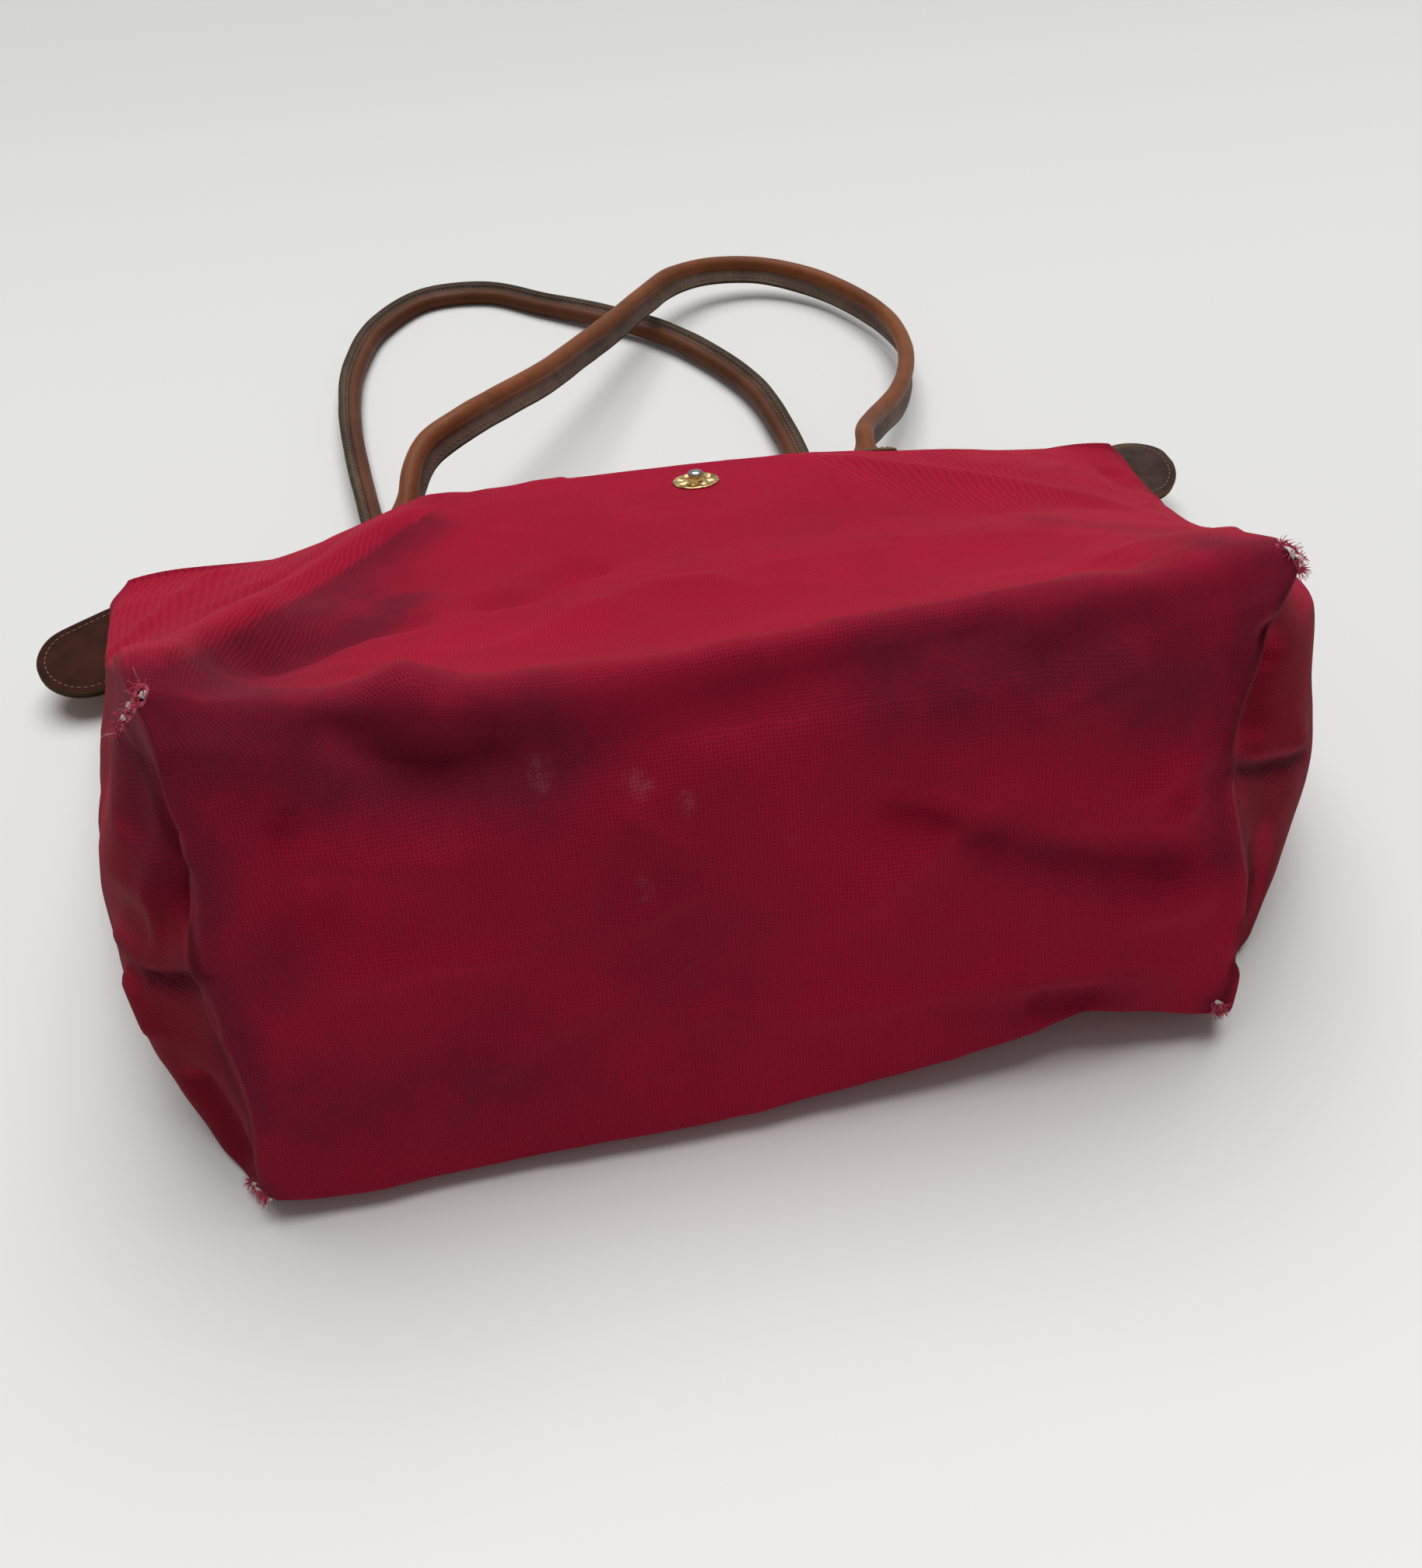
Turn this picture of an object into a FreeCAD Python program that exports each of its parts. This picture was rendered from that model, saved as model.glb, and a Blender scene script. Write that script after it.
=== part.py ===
import FreeCAD, Part
import math
import os

from FreeCAD import Vector

# A folding tote bag of coated canvas with leather handles, lying on its back panel.
# Millimetres. X runs along the bag's width and Z is up. The base panel faces -Y and the
# zipped mouth faces +Y. The origin is on the table, under the middle of the back panel.

# Canvas body
BASE_WIDTH = 310.0        # between the base panel's short edges
BASE_HEIGHT = 166.0       # standing height of the base panel while the bag lies down
BASE_LEAN = 0.26          # how far the base panel leans back, per unit of height
BAG_LENGTH = 290.0        # from the base panel's lower edge to the face of the mouth
WALL = 1.2                # canvas with its coating
CREST_HEIGHT = 68.0       # height of the front panel where it bends over to the mouth
CREST_SETBACK = 13.0      # from the mouth's face back to the crest
ROOF_SETBACK = 1.5        # from the mouth's face back to its rounded rim
BASE_SAG = 6.0            # how far the base panel bulges towards the viewer
BASE_ROUND = 2.0          # how far its widest loop lies behind its lower edge
BACK_EDGE = 130.0         # from the base panel's lower edge to the origin

# Mouth and zip
MOUTH_LOW = 19.0
MOUTH_HIGH = 37.0
MOUTH_OVERHANG = 66.0     # how much further out the mouth ends are than the base, per side
MOUTH_SHIFT = 9.0         # how far the mouth lies to the right of the base
SLOT_HEIGHT = 10.0        # opening between the two canvas lips
TAPE_THICKNESS = 0.8
TAPE_HEM = 3.0            # how far each tape runs behind its lip
CHAIN_WIDTH = 2.4
CHAIN_DEPTH = 1.7
CHAIN_GAP = 1.0           # between the two rows, where the slider's neck passes
SLIDER_LENGTH = 12.0
SLIDER_PLATE = 1.3
SLIDER_CLEARANCE = 0.3
SLIDER_FLANGE = 1.0
SLIDER_END_GAP = 7.0      # from the closed end of the zip to the slider's middle
NECK_LENGTH = 4.0
STOP_LENGTH = 3.0
BRIDGE_HEIGHT = 3.4
BRIDGE_BAR = 1.2
PULL_LENGTH = 30.0
PULL_EYE_LENGTH = 9.5
PULL_WIDTH = 6.0
PULL_THICKNESS = 1.0

# Snap stud on the front panel
STUD_X = 28.0
STUD_BACK = 40.0          # from the mouth's face to the stud
ROSETTE_RADIUS = 8.6
ROSETTE_THICKNESS = 0.8
POST_RADIUS = 2.0
CAP_RADIUS = 2.9
CAP_THICKNESS = 2.2
STUD_HEIGHT = 5.0         # top of the cap above the canvas
PATCH_RADIUS = 13.0
PATCH_THICKNESS = 1.4
WASHER_RADIUS = 5.0
WASHER_THICKNESS = 0.8

# Closing flap, folded back under the back panel
FLAP_WIDTH = 84.0
FLAP_TIP_RADIUS = 28.0
FLAP_THICKNESS = 1.6
FLAP_ANCHOR_LENGTH = 40.0
FLAP_HINGE_SETBACK = 5.0  # flap hinge beyond the mouth's face
FLAP_JOINT_GAP = 1.0      # from each hinge line to the end of the leaf beside it
FLAP_ANCHOR_GAP = 0.8     # between the sewn end and the leaf when the flap is closed
FLAP_PAST_STUD = 14.0
FLAP_CLEARANCE = 0.35     # over the rosette when the flap is closed
TUCK_HEIGHT = 6.0         # how far the back panel is lifted by the folded flap
TUCK_REACH = 120.0        # how far the lifted place runs in from the mouth's face
TUCK_RAMP = 20.0          # length of the slope where it begins
TUCK_MARGIN = 8.0
TUCK_SLOPE = 27.0         # width of the slope on each side of the tuck
FLAP_ROOF_GAP = 3.0       # from the flap's hinge line to its second fold, along Y, when closed
SOCKET_THICKNESS = 1.2
SOCKET_RADIUS = 6.5
SNAP_BORE_CLEARANCE = 0.4
SNAP_CAP_HEIGHT = 2.0
SNAP_CAP_WALL = 0.6

# Handles
HANDLE_RADIUS = 5.75
CORE_RADIUS = 3.2
HANDLE_PIVOT_SETBACK = 12.0  # pivot line beyond the mouth's face
FRONT_PIVOT_HEIGHT = 49.0
REAR_PIVOT_HEIGHT = 10.0
PIVOT_CLEARANCE = 1.25       # round the handle's rounded end, so that it can lean
ANCHOR_WIDTH = 20.0
ANCHOR_THICKNESS = 1.8
ANCHOR_REACH = 14.0       # how far the sewn leather runs back over the canvas
ANCHOR_HALF_HEIGHT = 9.0
TONGUE_WIDTH = 6.0        # neck between the sewn leather and the round handle
TONGUE_THICKNESS = 2.4

# Leather tabs at the two ends of the zip
TAB_LENGTH = 63.0         # uncut, with the part that the side seam hides
TAB_WIDTH = 40.0
TAB_THICKNESS = 1.6
TAB_TILT = 12.0
LEFT_TAB_SINK = 16.0      # from the mouth's end in to the tab's root
LEFT_TAB_HEIGHT = 16.0
LEFT_TAB_SETBACK = 2.0    # from the mouth's face back to the tab's root
LEFT_TAB_TURN = 30.0      # towards the base
RIGHT_TAB_SINK = 26.0
RIGHT_TAB_HEIGHT = 20.0
RIGHT_TAB_SETBACK = 11.0
RIGHT_TAB_TURN = 15.0     # away from the base
TAB_END_GAP = 0.5         # between the mouth's end and a tab that reaches past its face

# Inside
BINDING_THICKNESS = 0.8
BINDING_WIDTH = 12.0
BINDING_END_GAP = 14.0    # from the base panel's long edges to the ends of its bindings
BINDING_OVERLAP = 6.0     # how far the base bindings turn in beyond their width
POCKET_WIDTH = 170.0
POCKET_DEPTH = 70.0
POCKET_FROM_MOUTH = 90.0

# Gusset folds as shares of the side's height: lower bulge, seam, upper bulge
LEFT_FOLDS = (0.28, 0.53, 0.745)
RIGHT_FOLDS = (0.355, 0.60, 0.78)


# The bag's shape in nine cross loops. Widths in a loop are 310ths of the base's width, lifts are
# 166ths of its height, and heights are shares of the height that the loop is given.
WIDTH_UNIT = BASE_WIDTH / 310.0
LIFT_UNIT = BASE_HEIGHT / 166.0


def station(y, lean, tall, left, right, middle, under, shift):
    """One cross loop of the bag.

    y and lean place its plane, and tall is the height that its heights are shares of. left and
    right are made by side. middle is the height of the crease, under the six heights of the
    underside from left to right, and shift how far the inner skin's loop is moved along Y.
    """
    return {"y": y, "lean": lean, "left": scaled_side(left, tall), "right": scaled_side(right, tall),
            "middle": middle * tall, "under": under, "shift": shift}


def side(height, steps, wing_x, crease_x, wing_height):
    """A loop's side: its height, the outward steps from the base's half width of the low corner,
    lower bulge, seam, upper bulge and top corner, the wing's and the crease's distance from the
    middle, and the wing's height."""
    widths = [step * WIDTH_UNIT for step in steps]
    return (height, widths, wing_x * WIDTH_UNIT, crease_x * WIDTH_UNIT, wing_height)


def mouth_side(sign, height, swells, wing_x, crease_x, wing_height):
    """A side whose steps are counted from the end of the mouth."""
    end = MOUTH_OVERHANG + sign * MOUTH_SHIFT
    steps = [end / WIDTH_UNIT + swell for swell in swells]
    return side(height, steps, wing_x, crease_x, wing_height)


def scaled_side(at, tall):
    height, steps, wing_x, crease_x, wing_height = at
    return (height * tall, steps, wing_x, crease_x, wing_height * tall)


def side_points(at, folds, low, middle):
    height, steps, wing_x, crease_x, wing_z = at
    half = BASE_WIDTH / 2
    levels = [low] + [low + share * (height - low) for share in folds] + [height]
    outer = [(half + step, level) for step, level in zip(steps, levels)]
    return outer + [(wing_x, wing_z), (crease_x, middle)]


def loop_of(at):
    """Points (x, z) of a station, round the bag from the left low corner."""
    left = side_points(at["left"], LEFT_FOLDS, at["under"][0], at["middle"])
    right = side_points(at["right"], RIGHT_FOLDS, at["under"][5], at["middle"])
    flat_half = FLAP_WIDTH / 2 + TUCK_MARGIN
    slope_half = flat_half + TUCK_SLOPE
    under_x = [STUD_X + step for step in (slope_half, flat_half, -flat_half, -slope_half)]
    under_z = (at["under"][4], at["under"][3], at["under"][2], at["under"][1])
    points = [(-x, z) for x, z in left]
    points += [(x, z) for x, z in reversed(right)]
    points += list(zip(under_x, under_z))
    return points


def lifts(*values):
    return [value * LIFT_UNIT for value in values]


def tucked(beside, over):
    """Underside heights beside the folded flap and over it."""
    return [beside, beside, over, over, beside, beside]


STATIONS = [
    station(-BASE_SAG, BASE_LEAN, BASE_HEIGHT,
            side(0.965, (-1, -3, -3, -9, -8), 120, 80, 0.93),
            side(0.92, (0, -2, -12, -11, -3), 120, 80, 0.905),
            0.86, lifts(10, 8, 8, 17, 22, 11), 1.0),
    station(BASE_ROUND, BASE_LEAN, BASE_HEIGHT,
            side(1.02, (5, -1, 0, -7, -5), 136, 115, 1.01),
            side(0.968, (2, 1, -10, -9, 5), 138, 115, 0.99),
            0.985, lifts(5, 1, 0, 11, 16, 6), 0.6),
    station(0.11 * BAG_LENGTH, BASE_LEAN, BASE_HEIGHT,
            side(0.95, (21, 29, 18, 15, 3), 140, 120, 0.928),
            side(0.90, (25, 36, 33, 27, 5), 142, 118, 0.905),
            0.88, lifts(1, 0, 0, 3, 5, 2), 0.0),
    station(0.276 * BAG_LENGTH, 0.20, BASE_HEIGHT,
            side(0.777, (31, 44, 40, 27, 15), 153, 126, 0.79),
            side(0.74, (41, 66, 59, 56, 26), 150, 122, 0.76),
            0.745, lifts(0, 0, 0, 0, 0, 0), 0.0),
    station(BAG_LENGTH - TUCK_REACH - TUCK_RAMP, 0.09, BASE_HEIGHT,
            side(0.566, (42, 58, 49, 42, 36), 151, 113, 0.62),
            side(0.506, (57, 75, 69, 68, 48), 155, 106, 0.585),
            0.61, lifts(0, 0, 0, 0, 0, 0), 0.0),
    station(BAG_LENGTH - TUCK_REACH, 0.06, BASE_HEIGHT,
            side(0.482, (47, 61, 55, 48, 41), 150, 110, 0.554),
            side(0.455, (62, 78, 74, 66, 51), 160, 102, 0.525),
            0.56, tucked(0.0, TUCK_HEIGHT), 0.0),
    station(BAG_LENGTH - CREST_SETBACK, -0.10, CREST_HEIGHT,
            mouth_side(-1, 0.575, (6, 11, 9, 8, 2), 152, 85, 0.68),
            mouth_side(1, 0.53, (5, 11, 12, 8, -1), 171, 74, 0.78),
            1.0, tucked(0.0, TUCK_HEIGHT), -0.5),
    station(BAG_LENGTH - ROOF_SETBACK, -0.07, CREST_HEIGHT,
            mouth_side(-1, 0.55, (4, 9, 12, 10, -1), 152, 88, 0.58),
            mouth_side(1, 0.53, (4, 9, 9, 8, -2), 170, 76, 0.66),
            0.84, tucked(WALL, TUCK_HEIGHT + WALL), -1.0),
    station(BAG_LENGTH, 0.0, MOUTH_HIGH,
            mouth_side(-1, 1.0, (0, 3, 4, 3, 0), 150, 88, 1.0),
            mouth_side(1, 1.0, (0, 3, 4, 3, 0), 165, 76, 1.0),
            1.0, [MOUTH_LOW] * 6, -1.0),
]

# Handle routes from the left end round to the right end: X, Y beyond the mouth's face, and the
# height of the handle's underside over the table
FRONT_LEFT_X = -93.0
FRONT_RIGHT_X = 116.0
REAR_LEFT_X = -107.0
REAR_RIGHT_X = 98.0
FRONT_ROUTE = [
    (-88, 26, 49), (-78, 38, 53), (-62, 53, 54), (-43, 75, 50), (-21, 102, 44), (2, 139, 36),
    (23, 173, 29), (47, 213, 22), (69, 243, 17), (95, 259, 12), (122, 259, 9), (148, 243, 7),
    (168, 212, 7), (178, 178, 8), (177, 144, 10), (168, 112, 14), (153, 81, 19), (134, 53, 26),
    (121, 28, 35),
]
REAR_ROUTE = [
    (-109, 32, 5), (-113, 62, 4), (-118, 110, 3), (-121, 165, 2), (-117, 218, 1), (-101, 263, 0.7),
    (-72, 291, 0), (-38, 290, 0), (-5, 265, 0.7), (26, 240, 2), (54, 214, 2),
    (78, 177, 2), (93, 138, 2.5), (98, 95, 3), (98, 45, 4),
]


def at_origin(x, y, z):
    """A point given from the base panel's lower edge, in the part's own frame."""
    return Vector(x, y - BACK_EDGE, z)


def inset(loop, distance):
    """The loop moved inward by a distance, with mitred corners."""
    count = len(loop)
    moved = []
    for index in range(count):
        before = loop[index - 1]
        here = loop[index]
        after = loop[(index + 1) % count]
        first = inward_normal(before, here)
        second = inward_normal(here, after)
        scale = distance / (1.0 + first[0] * second[0] + first[1] * second[1])
        moved.append((here[0] + (first[0] + second[0]) * scale, here[1] + (first[1] + second[1]) * scale))
    return moved


def inward_normal(start, end):
    dx = end[0] - start[0]
    dz = end[1] - start[1]
    length = math.hypot(dx, dz)
    return (dz / length, -dx / length)


def skin_loops(depth):
    """The loops of the body's skin, a depth inside its outer face or, below zero, outside it."""
    loops = []
    for at in STATIONS:
        flat = loop_of(at)
        if depth:
            flat = inset(flat, depth)
        back = at["y"] + at["shift"] * depth
        loops.append([at_origin(x, back + at["lean"] * z, z) for x, z in flat])
    return loops


def polygon_face(points):
    return Part.Face(Part.makePolygon(list(points) + [points[0]]))


def quad_faces(a, b, c, d):
    normal = (b - a).cross(c - a)
    if normal.Length < 1e-9 or abs((d - a).dot(normal) / normal.Length) > 1e-6:
        return [polygon_face((a, b, c)), polygon_face((a, c, d))]
    return [polygon_face((a, b, c, d))]


def skin_solid(loops):
    """A closed solid with flat faces through loops that have equally many points."""
    faces = [polygon_face(loops[0]), polygon_face(loops[-1])]
    count = len(loops[0])
    for low, high in zip(loops, loops[1:]):
        for index in range(count):
            after = (index + 1) % count
            faces += quad_faces(low[index], low[after], high[after], high[index])
    shell = Part.Shell(faces)
    solid = Part.Solid(shell)
    if solid.Volume < 0:
        solid.reverse()
    return solid


def block(x_range, y_range, z_range):
    corner = at_origin(x_range[0], y_range[0], z_range[0])
    return Part.makeBox(x_range[1] - x_range[0], y_range[1] - y_range[0], z_range[1] - z_range[0], corner)


def top_plane():
    """Slope of the front panel's middle between the last loop before the crest and the crest."""
    low = STATIONS[5]
    high = STATIONS[6]
    low_y = low["y"] + low["lean"] * low["middle"]
    high_y = high["y"] + high["lean"] * high["middle"]
    slope = (low["middle"] - high["middle"]) / (high_y - low_y)
    return high_y, high["middle"], slope


CREST_Y, CREST_Z, PANEL_SLOPE = top_plane()
PANEL_ANGLE = math.atan(PANEL_SLOPE)
STUD_Y = BAG_LENGTH - STUD_BACK
STUD_Z = CREST_Z + (CREST_Y - STUD_Y) * PANEL_SLOPE
PANEL_NORMAL = Vector(0, math.sin(PANEL_ANGLE), math.cos(PANEL_ANGLE))
STUD_FOOT = at_origin(STUD_X, STUD_Y, STUD_Z)
MOUTH_HALF = BASE_WIDTH / 2 + MOUTH_OVERHANG
MOUTH_ENDS = (MOUTH_SHIFT - MOUTH_HALF, MOUTH_SHIFT + MOUTH_HALF)
ZIP_Z = (MOUTH_LOW + MOUTH_HIGH) / 2


def along_stud(radius, start, length):
    """A cylinder on the stud's axis, from a height over the canvas."""
    return Part.makeCylinder(radius, length, STUD_FOOT + PANEL_NORMAL * start, PANEL_NORMAL)


def rounded_slab(half_width, length, thickness, tip_radius):
    """A flat leather piece along +Y from X's line, with a rounded far end, standing on Z = 0."""
    shoulder = length - tip_radius
    corner = math.sqrt(0.5)
    outline = Part.Wire([
        Part.LineSegment(Vector(-half_width, 0, 0), Vector(half_width, 0, 0)).toShape(),
        Part.LineSegment(Vector(half_width, 0, 0), Vector(tip_radius, shoulder, 0)).toShape(),
        Part.Arc(Vector(tip_radius, shoulder, 0),
                 Vector(tip_radius * corner, shoulder + tip_radius * corner, 0),
                 Vector(0, length, 0)).toShape(),
        Part.Arc(Vector(0, length, 0),
                 Vector(-tip_radius * corner, shoulder + tip_radius * corner, 0),
                 Vector(-tip_radius, shoulder, 0)).toShape(),
        Part.LineSegment(Vector(-tip_radius, shoulder, 0), Vector(-half_width, 0, 0)).toShape(),
    ])
    return Part.Face(outline).extrude(Vector(0, 0, thickness))


# Body

def build_body(parts):
    outer = skin_solid(skin_loops(0.0))
    inner = skin_solid(skin_loops(WALL))
    lining = inner.cut(skin_solid(skin_loops(WALL + BINDING_THICKNESS)))
    slot = block(MOUTH_ENDS, (BAG_LENGTH - 3 * WALL, BAG_LENGTH + WALL),
                 (ZIP_Z - SLOT_HEIGHT / 2, ZIP_Z + SLOT_HEIGHT / 2))
    rivet_hole = along_stud(POST_RADIUS, -3 * WALL, 6 * WALL)
    parts["canvas_body"] = outer.cut(inner).cut(slot).cut(rivet_hole)
    for name, sign in (("left", -1), ("right", 1)):
        parts["%s_side_seam_binding" % name] = lining.common(seam_region(sign))
        parts["%s_base_seam_binding" % name] = base_binding(lining, sign)
    pocket_start = BAG_LENGTH - POCKET_FROM_MOUTH - POCKET_DEPTH
    pocket_zone = block((-POCKET_WIDTH / 2, POCKET_WIDTH / 2), (pocket_start, pocket_start + POCKET_DEPTH),
                        (-WALL, CREST_HEIGHT / 3))
    parts["inner_pocket"] = lining.common(pocket_zone)
    return outer, inner


def seam_region(sign):
    """A square tube that follows the side seam from the base edge to the roof."""
    seam_index = 2 if sign < 0 else 11
    half = BINDING_WIDTH / 2
    loops = []
    for at in STATIONS[2:8]:
        x, z = loop_of(at)[seam_index]
        corners = box_corners((x - 2 * half, x + 2 * half), (z - half, z + half))
        loops.append([at_origin(px, at["y"] + at["lean"] * pz, pz) for px, pz in corners])
    return skin_solid(loops)


def box_corners(x_range, z_range):
    return ((x_range[0], z_range[0]), (x_range[1], z_range[0]),
            (x_range[1], z_range[1]), (x_range[0], z_range[1]))


def base_binding(lining, sign):
    """Binding along the short edge of the base panel."""
    edge = sign * (BASE_WIDTH / 2 - BINDING_WIDTH - BINDING_OVERLAP)
    corners = box_corners((edge, sign * BASE_WIDTH), (BINDING_END_GAP, BASE_HEIGHT - BINDING_END_GAP))
    loops = []
    for y in (STATIONS[0]["y"] - WALL, STATIONS[1]["y"] + WALL + 2 * BINDING_THICKNESS):
        loops.append([at_origin(px, y + BASE_LEAN * pz, pz) for px, pz in corners])
    return lining.common(skin_solid(loops))


# Zip

def build_zip(parts, inner):
    face = BAG_LENGTH - WALL
    hem = SLOT_HEIGHT / 2 + TAPE_HEM
    left_stop = MOUTH_ENDS[0] + STOP_LENGTH
    left_end = left_stop + STOP_LENGTH
    right_end = MOUTH_ENDS[1] - 2 * STOP_LENGTH
    chain_y = (face, face + CHAIN_DEPTH)
    for name, sign in (("front", 1), ("rear", -1)):
        tape_z = sorted((ZIP_Z + sign * (CHAIN_GAP / 2 + CHAIN_WIDTH / 3), ZIP_Z + sign * hem))
        tape = block(MOUTH_ENDS, (face - TAPE_THICKNESS, face), tape_z)
        parts["zip_tape_%s" % name] = tape.common(inner)
        near_z = ZIP_Z + sign * CHAIN_GAP / 2
        chain_z = sorted((near_z, near_z + sign * CHAIN_WIDTH))
        parts["zip_chain_%s" % name] = block((left_end, right_end), chain_y, chain_z)
        top_stop = block((right_end, right_end + STOP_LENGTH), chain_y, chain_z)
        parts["zip_top_stop_%s" % name] = top_stop
    ends = (ZIP_Z - CHAIN_GAP / 2 - CHAIN_WIDTH, ZIP_Z + CHAIN_GAP / 2 + CHAIN_WIDTH)
    parts["zip_bottom_stop"] = block((left_stop, left_end), chain_y, ends)
    build_slider(parts, face, right_end - SLIDER_END_GAP)


def build_slider(parts, face, middle):
    x_range = (middle - SLIDER_LENGTH / 2, middle + SLIDER_LENGTH / 2)
    half = CHAIN_GAP / 2 + CHAIN_WIDTH + SLIDER_CLEARANCE
    outside = half + SLIDER_FLANGE
    top_y = face + CHAIN_DEPTH + SLIDER_CLEARANCE
    under_y = face - TAPE_THICKNESS - SLIDER_CLEARANCE
    top = block(x_range, (top_y, top_y + SLIDER_PLATE), (ZIP_Z - outside, ZIP_Z + outside))
    under = block(x_range, (under_y - SLIDER_PLATE, under_y), (ZIP_Z - outside, ZIP_Z + outside))
    neck_half = CHAIN_GAP / 2 - SLIDER_CLEARANCE
    neck = block((middle + SLIDER_LENGTH / 2 - NECK_LENGTH, middle + SLIDER_LENGTH / 2),
                 (under_y, top_y), (ZIP_Z - neck_half, ZIP_Z + neck_half))
    slider = top.fuse(under).fuse(neck)
    flange_y = (face + SLIDER_CLEARANCE, top_y)
    for sign in (1, -1):
        flange = block(x_range, flange_y, sorted((ZIP_Z + sign * half, ZIP_Z + sign * outside)))
        slider = slider.fuse(flange)
    parts["zip_slider"] = slider.fuse(slider_bridge(middle, top_y + SLIDER_PLATE)).removeSplitter()
    parts["zip_pull"] = zip_pull(middle, top_y + SLIDER_PLATE)


def slider_bridge(middle, floor):
    """The loop on the slider that the pull hangs from."""
    half = SLIDER_LENGTH / 2 - BRIDGE_BAR
    across = (ZIP_Z - BRIDGE_BAR, ZIP_Z + BRIDGE_BAR)
    bridge = block((middle - half, middle + half), (floor, floor + BRIDGE_HEIGHT), across)
    window = block((middle - half + BRIDGE_BAR, middle + half - BRIDGE_BAR),
                   (floor, floor + BRIDGE_HEIGHT - BRIDGE_BAR), across)
    return bridge.cut(window)


def zip_pull(middle, floor):
    """A flat pull with an eye round the slider's bridge, lying along the closed zip."""
    pivot_x = middle - SLIDER_LENGTH / 2 + 3 * BRIDGE_BAR
    pivot_y = floor + (BRIDGE_HEIGHT - BRIDGE_BAR) / 2
    half_y = (pivot_y - PULL_THICKNESS / 2, pivot_y + PULL_THICKNESS / 2)
    plate = block((pivot_x - PULL_LENGTH, pivot_x + PULL_THICKNESS / 2), half_y,
                  (ZIP_Z - PULL_WIDTH / 2, ZIP_Z + PULL_WIDTH / 2))
    eye_half = BRIDGE_BAR + SLIDER_CLEARANCE
    eye = block((pivot_x - PULL_EYE_LENGTH + PULL_THICKNESS, pivot_x - PULL_THICKNESS / 2), half_y,
                (ZIP_Z - eye_half, ZIP_Z + eye_half))
    print("pull pivot", at_origin(pivot_x, pivot_y, ZIP_Z))
    return plate.cut(eye)


# Stud

def build_stud(parts, inner):
    rosette = along_stud(ROSETTE_RADIUS, 0, ROSETTE_THICKNESS)
    parts["stud_rosette"] = rosette.cut(along_stud(POST_RADIUS, -WALL, 3 * WALL))
    inside = -WALL - PATCH_THICKNESS
    patch = along_stud(PATCH_RADIUS, inside, PATCH_THICKNESS).common(inner)
    parts["stud_patch"] = patch.cut(along_stud(POST_RADIUS, 2 * inside, 3 * PATCH_THICKNESS))
    washer = along_stud(WASHER_RADIUS, inside - WASHER_THICKNESS, WASHER_THICKNESS)
    parts["stud_washer"] = washer.cut(along_stud(POST_RADIUS, 2 * inside, 3 * PATCH_THICKNESS))
    post_low = inside - WASHER_THICKNESS
    parts["stud_post"] = along_stud(POST_RADIUS, post_low, STUD_HEIGHT - CAP_THICKNESS - post_low)
    cap = along_stud(CAP_RADIUS, STUD_HEIGHT - CAP_THICKNESS, CAP_THICKNESS)
    top_edges = [edge for edge in cap.Edges if rim_height(edge) > STUD_HEIGHT - 0.01]
    parts["stud_cap"] = cap.makeFillet(CAP_THICKNESS * 0.45, top_edges)


def rim_height(edge):
    """Height of an edge's lowest point over the canvas, along the stud's axis."""
    return min((vertex.Point - STUD_FOOT).dot(PANEL_NORMAL) for vertex in edge.Vertexes)


# Flap

FLAP_PIVOT_Y = BAG_LENGTH + FLAP_HINGE_SETBACK
FLAP_LOW = SOCKET_THICKNESS
FLAP_PIVOT_Z = (FLAP_LOW + TUCK_HEIGHT) / 2
FLAP_OFFSET = FLAP_PIVOT_Z - FLAP_LOW - FLAP_THICKNESS / 2


def closed_flap():
    """Reach of the flap's first leaf, and the angles of its two folds when it is snapped shut."""
    over_panel = ROSETTE_THICKNESS + FLAP_CLEARANCE + SOCKET_THICKNESS + FLAP_THICKNESS / 2
    fold_y = FLAP_PIVOT_Y + FLAP_ROOF_GAP
    fold_z = STUD_Z - (fold_y - STUD_Y) * PANEL_SLOPE + over_panel / math.cos(PANEL_ANGLE)
    rise = fold_z - FLAP_PIVOT_Z
    run = fold_y - FLAP_PIVOT_Y
    reach = math.sqrt(rise * rise + run * run - FLAP_OFFSET * FLAP_OFFSET)
    rest = math.atan2(-FLAP_OFFSET, -reach)
    turn = math.degrees(math.atan2(rise, run) - rest) % 360.0
    second = math.degrees(math.pi - PANEL_ANGLE) - (turn - 180.0)
    foot = (fold_y - STUD_Y) / math.cos(PANEL_ANGLE) - over_panel * math.tan(PANEL_ANGLE)
    return reach, turn, second, foot


FLAP_REACH, FLAP_TURN, FLAP_SECOND_TURN, FLAP_TO_STUD = closed_flap()


def laid_flap(solid, start_y):
    """Places a leaf drawn along +Y so that it runs towards -Y from start_y, at the flap's level."""
    solid.rotate(Vector(0, 0, 0), Vector(0, 0, 1), 180)
    solid.translate(at_origin(STUD_X, start_y, FLAP_LOW))
    return solid


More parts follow.
